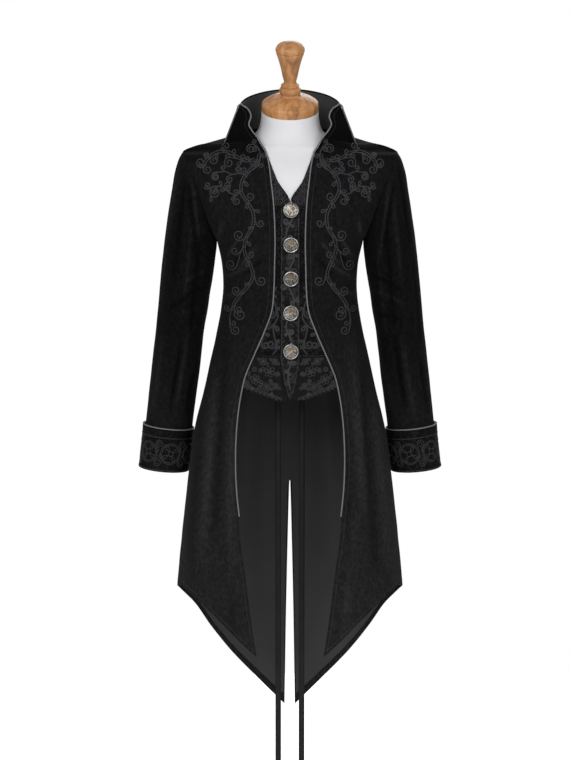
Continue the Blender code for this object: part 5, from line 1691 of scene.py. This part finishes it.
def gear_mesh(gear):
    """A toothed rim, a hub and spokes, or a whole toothed disc where there are none."""
    outline = []
    inner = []
    for k in range(gear.teeth):
        for part, reach in ((0.05, 0.86), (0.4, 0.86), (0.55, 1.0), (0.9, 1.0)):
            angle = 2 * math.pi * (k + part) / gear.teeth
            outline.append(polar(gear.x, gear.y, gear.radius * reach, angle))
            inner.append(polar(gear.x, gear.y, gear.radius * 0.66, angle))
    if not gear.spokes:
        return [prism(outline, gear.low, gear.high)]
    parts = [prism(outline, gear.low, gear.high, inner),
             prism(circle(gear.x, gear.y, gear.radius * 0.24), gear.low, gear.high)]
    for k in range(gear.spokes):
        end = polar(gear.x, gear.y, gear.radius * 0.7, 2 * math.pi * (k + 0.3) / gear.spokes)
        parts.append(prism(bar((gear.x, gear.y), end, gear.radius * 0.13), gear.low, gear.high - 0.0001))
    return parts


def screw_mesh(x, y, low, turn):
    """A screw head with a slot between its two halves."""
    parts = [prism(circle(x, y, 0.00105), low, low + 0.00025)]
    for half in (0, 180):
        outline = [polar(x, y, 0.001, math.radians(turn + half + 14 + 19 * k)) for k in range(9)]
        parts.append(prism(outline, low + 0.0002, low + 0.0005))
    return parts


def clockwork():
    """The movement's parts, each with the number of its finish, on a plate at height 0."""
    parts = [(prism(circle(0, 0, PLATE_RADIUS, 48), 0.0, PLATE_TOP), 2)]
    for gear in GEARS:
        parts += [(part, gear.finish) for part in gear_mesh(gear)]
        parts.append((prism(circle(gear.x, gear.y, 0.00045, 10), 0.0, gear.high + 0.0003), 0))
    line = smooth(np.array([(x, y, 0.0) for x, y in BRIDGE_BAR])[:, None, :], 0.0008)[:, 0]
    along = unit(direction(line))
    off = np.stack([-along[:, 1], along[:, 0]], axis=1)
    width = np.linspace(0.0024, 0.0014, len(line))[:, None]
    outline = np.concatenate([line[:, :2] + off * width, (line[:, :2] - off * width)[::-1]])
    parts.append((prism([tuple(p) for p in outline], BRIDGE_LOW, BRIDGE_TOP), 0))
    spiral = [(*polar(*JEWELS[0], 0.0006 + 0.0018 * k / 60, k * 0.36), BRIDGE_LOW) for k in range(61)]
    parts.append((tube_mesh(spiral, np.array([(0, 0, 1.0)] * 61), 0.00022, 0.0003, 5), 1))
    for number, (x, y) in enumerate(SCREWS):
        low = BRIDGE_TOP if number < 2 else PLATE_TOP
        parts += [(part, 0) for part in screw_mesh(x, y, low, 40 + 65 * number)]
    for number, (x, y) in enumerate(JEWELS):
        low = BRIDGE_TOP if number == 3 else BRIDGE_LOW
        parts.append((prism(circle(x, y, 0.00095), low - 0.0004, low + 0.0001, circle(x, y, 0.0006)), 1))
        dome = [(0, low - 0.0003), (0.0006, low - 0.0003), (0.0006, low), (0.0004, low + 0.0002),
                (0, low + 0.00028)]
        parts.append((turned_mesh(dome, 12, Matrix.Translation((x, y, 0))), 3))
    return parts


def crown_mesh():
    """A fluted winding crown above the case, on a short neck."""
    flutes = [polar(0, 0, 0.0013 if k % 2 else 0.00115, 2 * math.pi * k / 40) for k in range(40)]
    turn = Matrix.Translation((0, 0.0144, 0.0041)) @ Matrix.Rotation(math.radians(-90), 4, "X")
    return [(moved(turn, points), faces) for points, faces in (
        prism(circle(0, 0, 0.0007, 12), 0.0, 0.001), prism(flutes, 0.0008, 0.0021))]


def watch_buttons():
    """Each button is a chrome case over a clockwork, and stays where its CAD solids are."""
    inner = VEST_DEPTH - LAYER_GAP
    points, faces = joined([turned_mesh(CASE_PROFILE, 56, Matrix())] + crown_mesh())
    parts = clockwork()
    wheels, wheel_faces = joined([part for part, _ in parts])
    finish = [finish for (_, some), finish in parts for _ in some]
    for number, z in enumerate(BUTTON_HEIGHTS, 1):
        place = button_matrix(z, inner - BAND_CLOTH)
        made = piece(f"watch_case_{number}", moved(place, points), faces, CHROME_LOOK, slot="case",
                     smooth_angle=35)
        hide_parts(f"button_{number}")
        turn = Matrix.Rotation(math.radians(23 * number), 4, "Z")
        spin = place @ Matrix.Translation((0, 0, CASE_FLOOR + REST_GAP)) @ turn
        made = piece(f"clockwork_{number}", moved(spin, wheels), wheel_faces,
                     [STEEL_LOOK, BRASS_LOOK, PLATE_LOOK, RUBY_LOOK], slots=finish, slot="clockwork",
                     smooth_angle=25)
        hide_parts(f"movement_{number}")


def finish_nodes():
    """Paint on the CAD nodes that stay shown."""
    for name in ("form_plate", "stand_base", "stand_rod_left", "stand_rod_right"):
        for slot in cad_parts[name].material_slots:
            slot.material = PAINT_LOOK


FRONTS = dress_body()
dress_collar()
CUFFS = dress_cuffs()
VEST = dress_waistcoat()
trim_pipings()
coat_scrolls(FRONTS)
vest_figures(VEST)
cuff_figures(CUFFS)
whole_form()
watch_buttons()
finish_nodes()
stage()
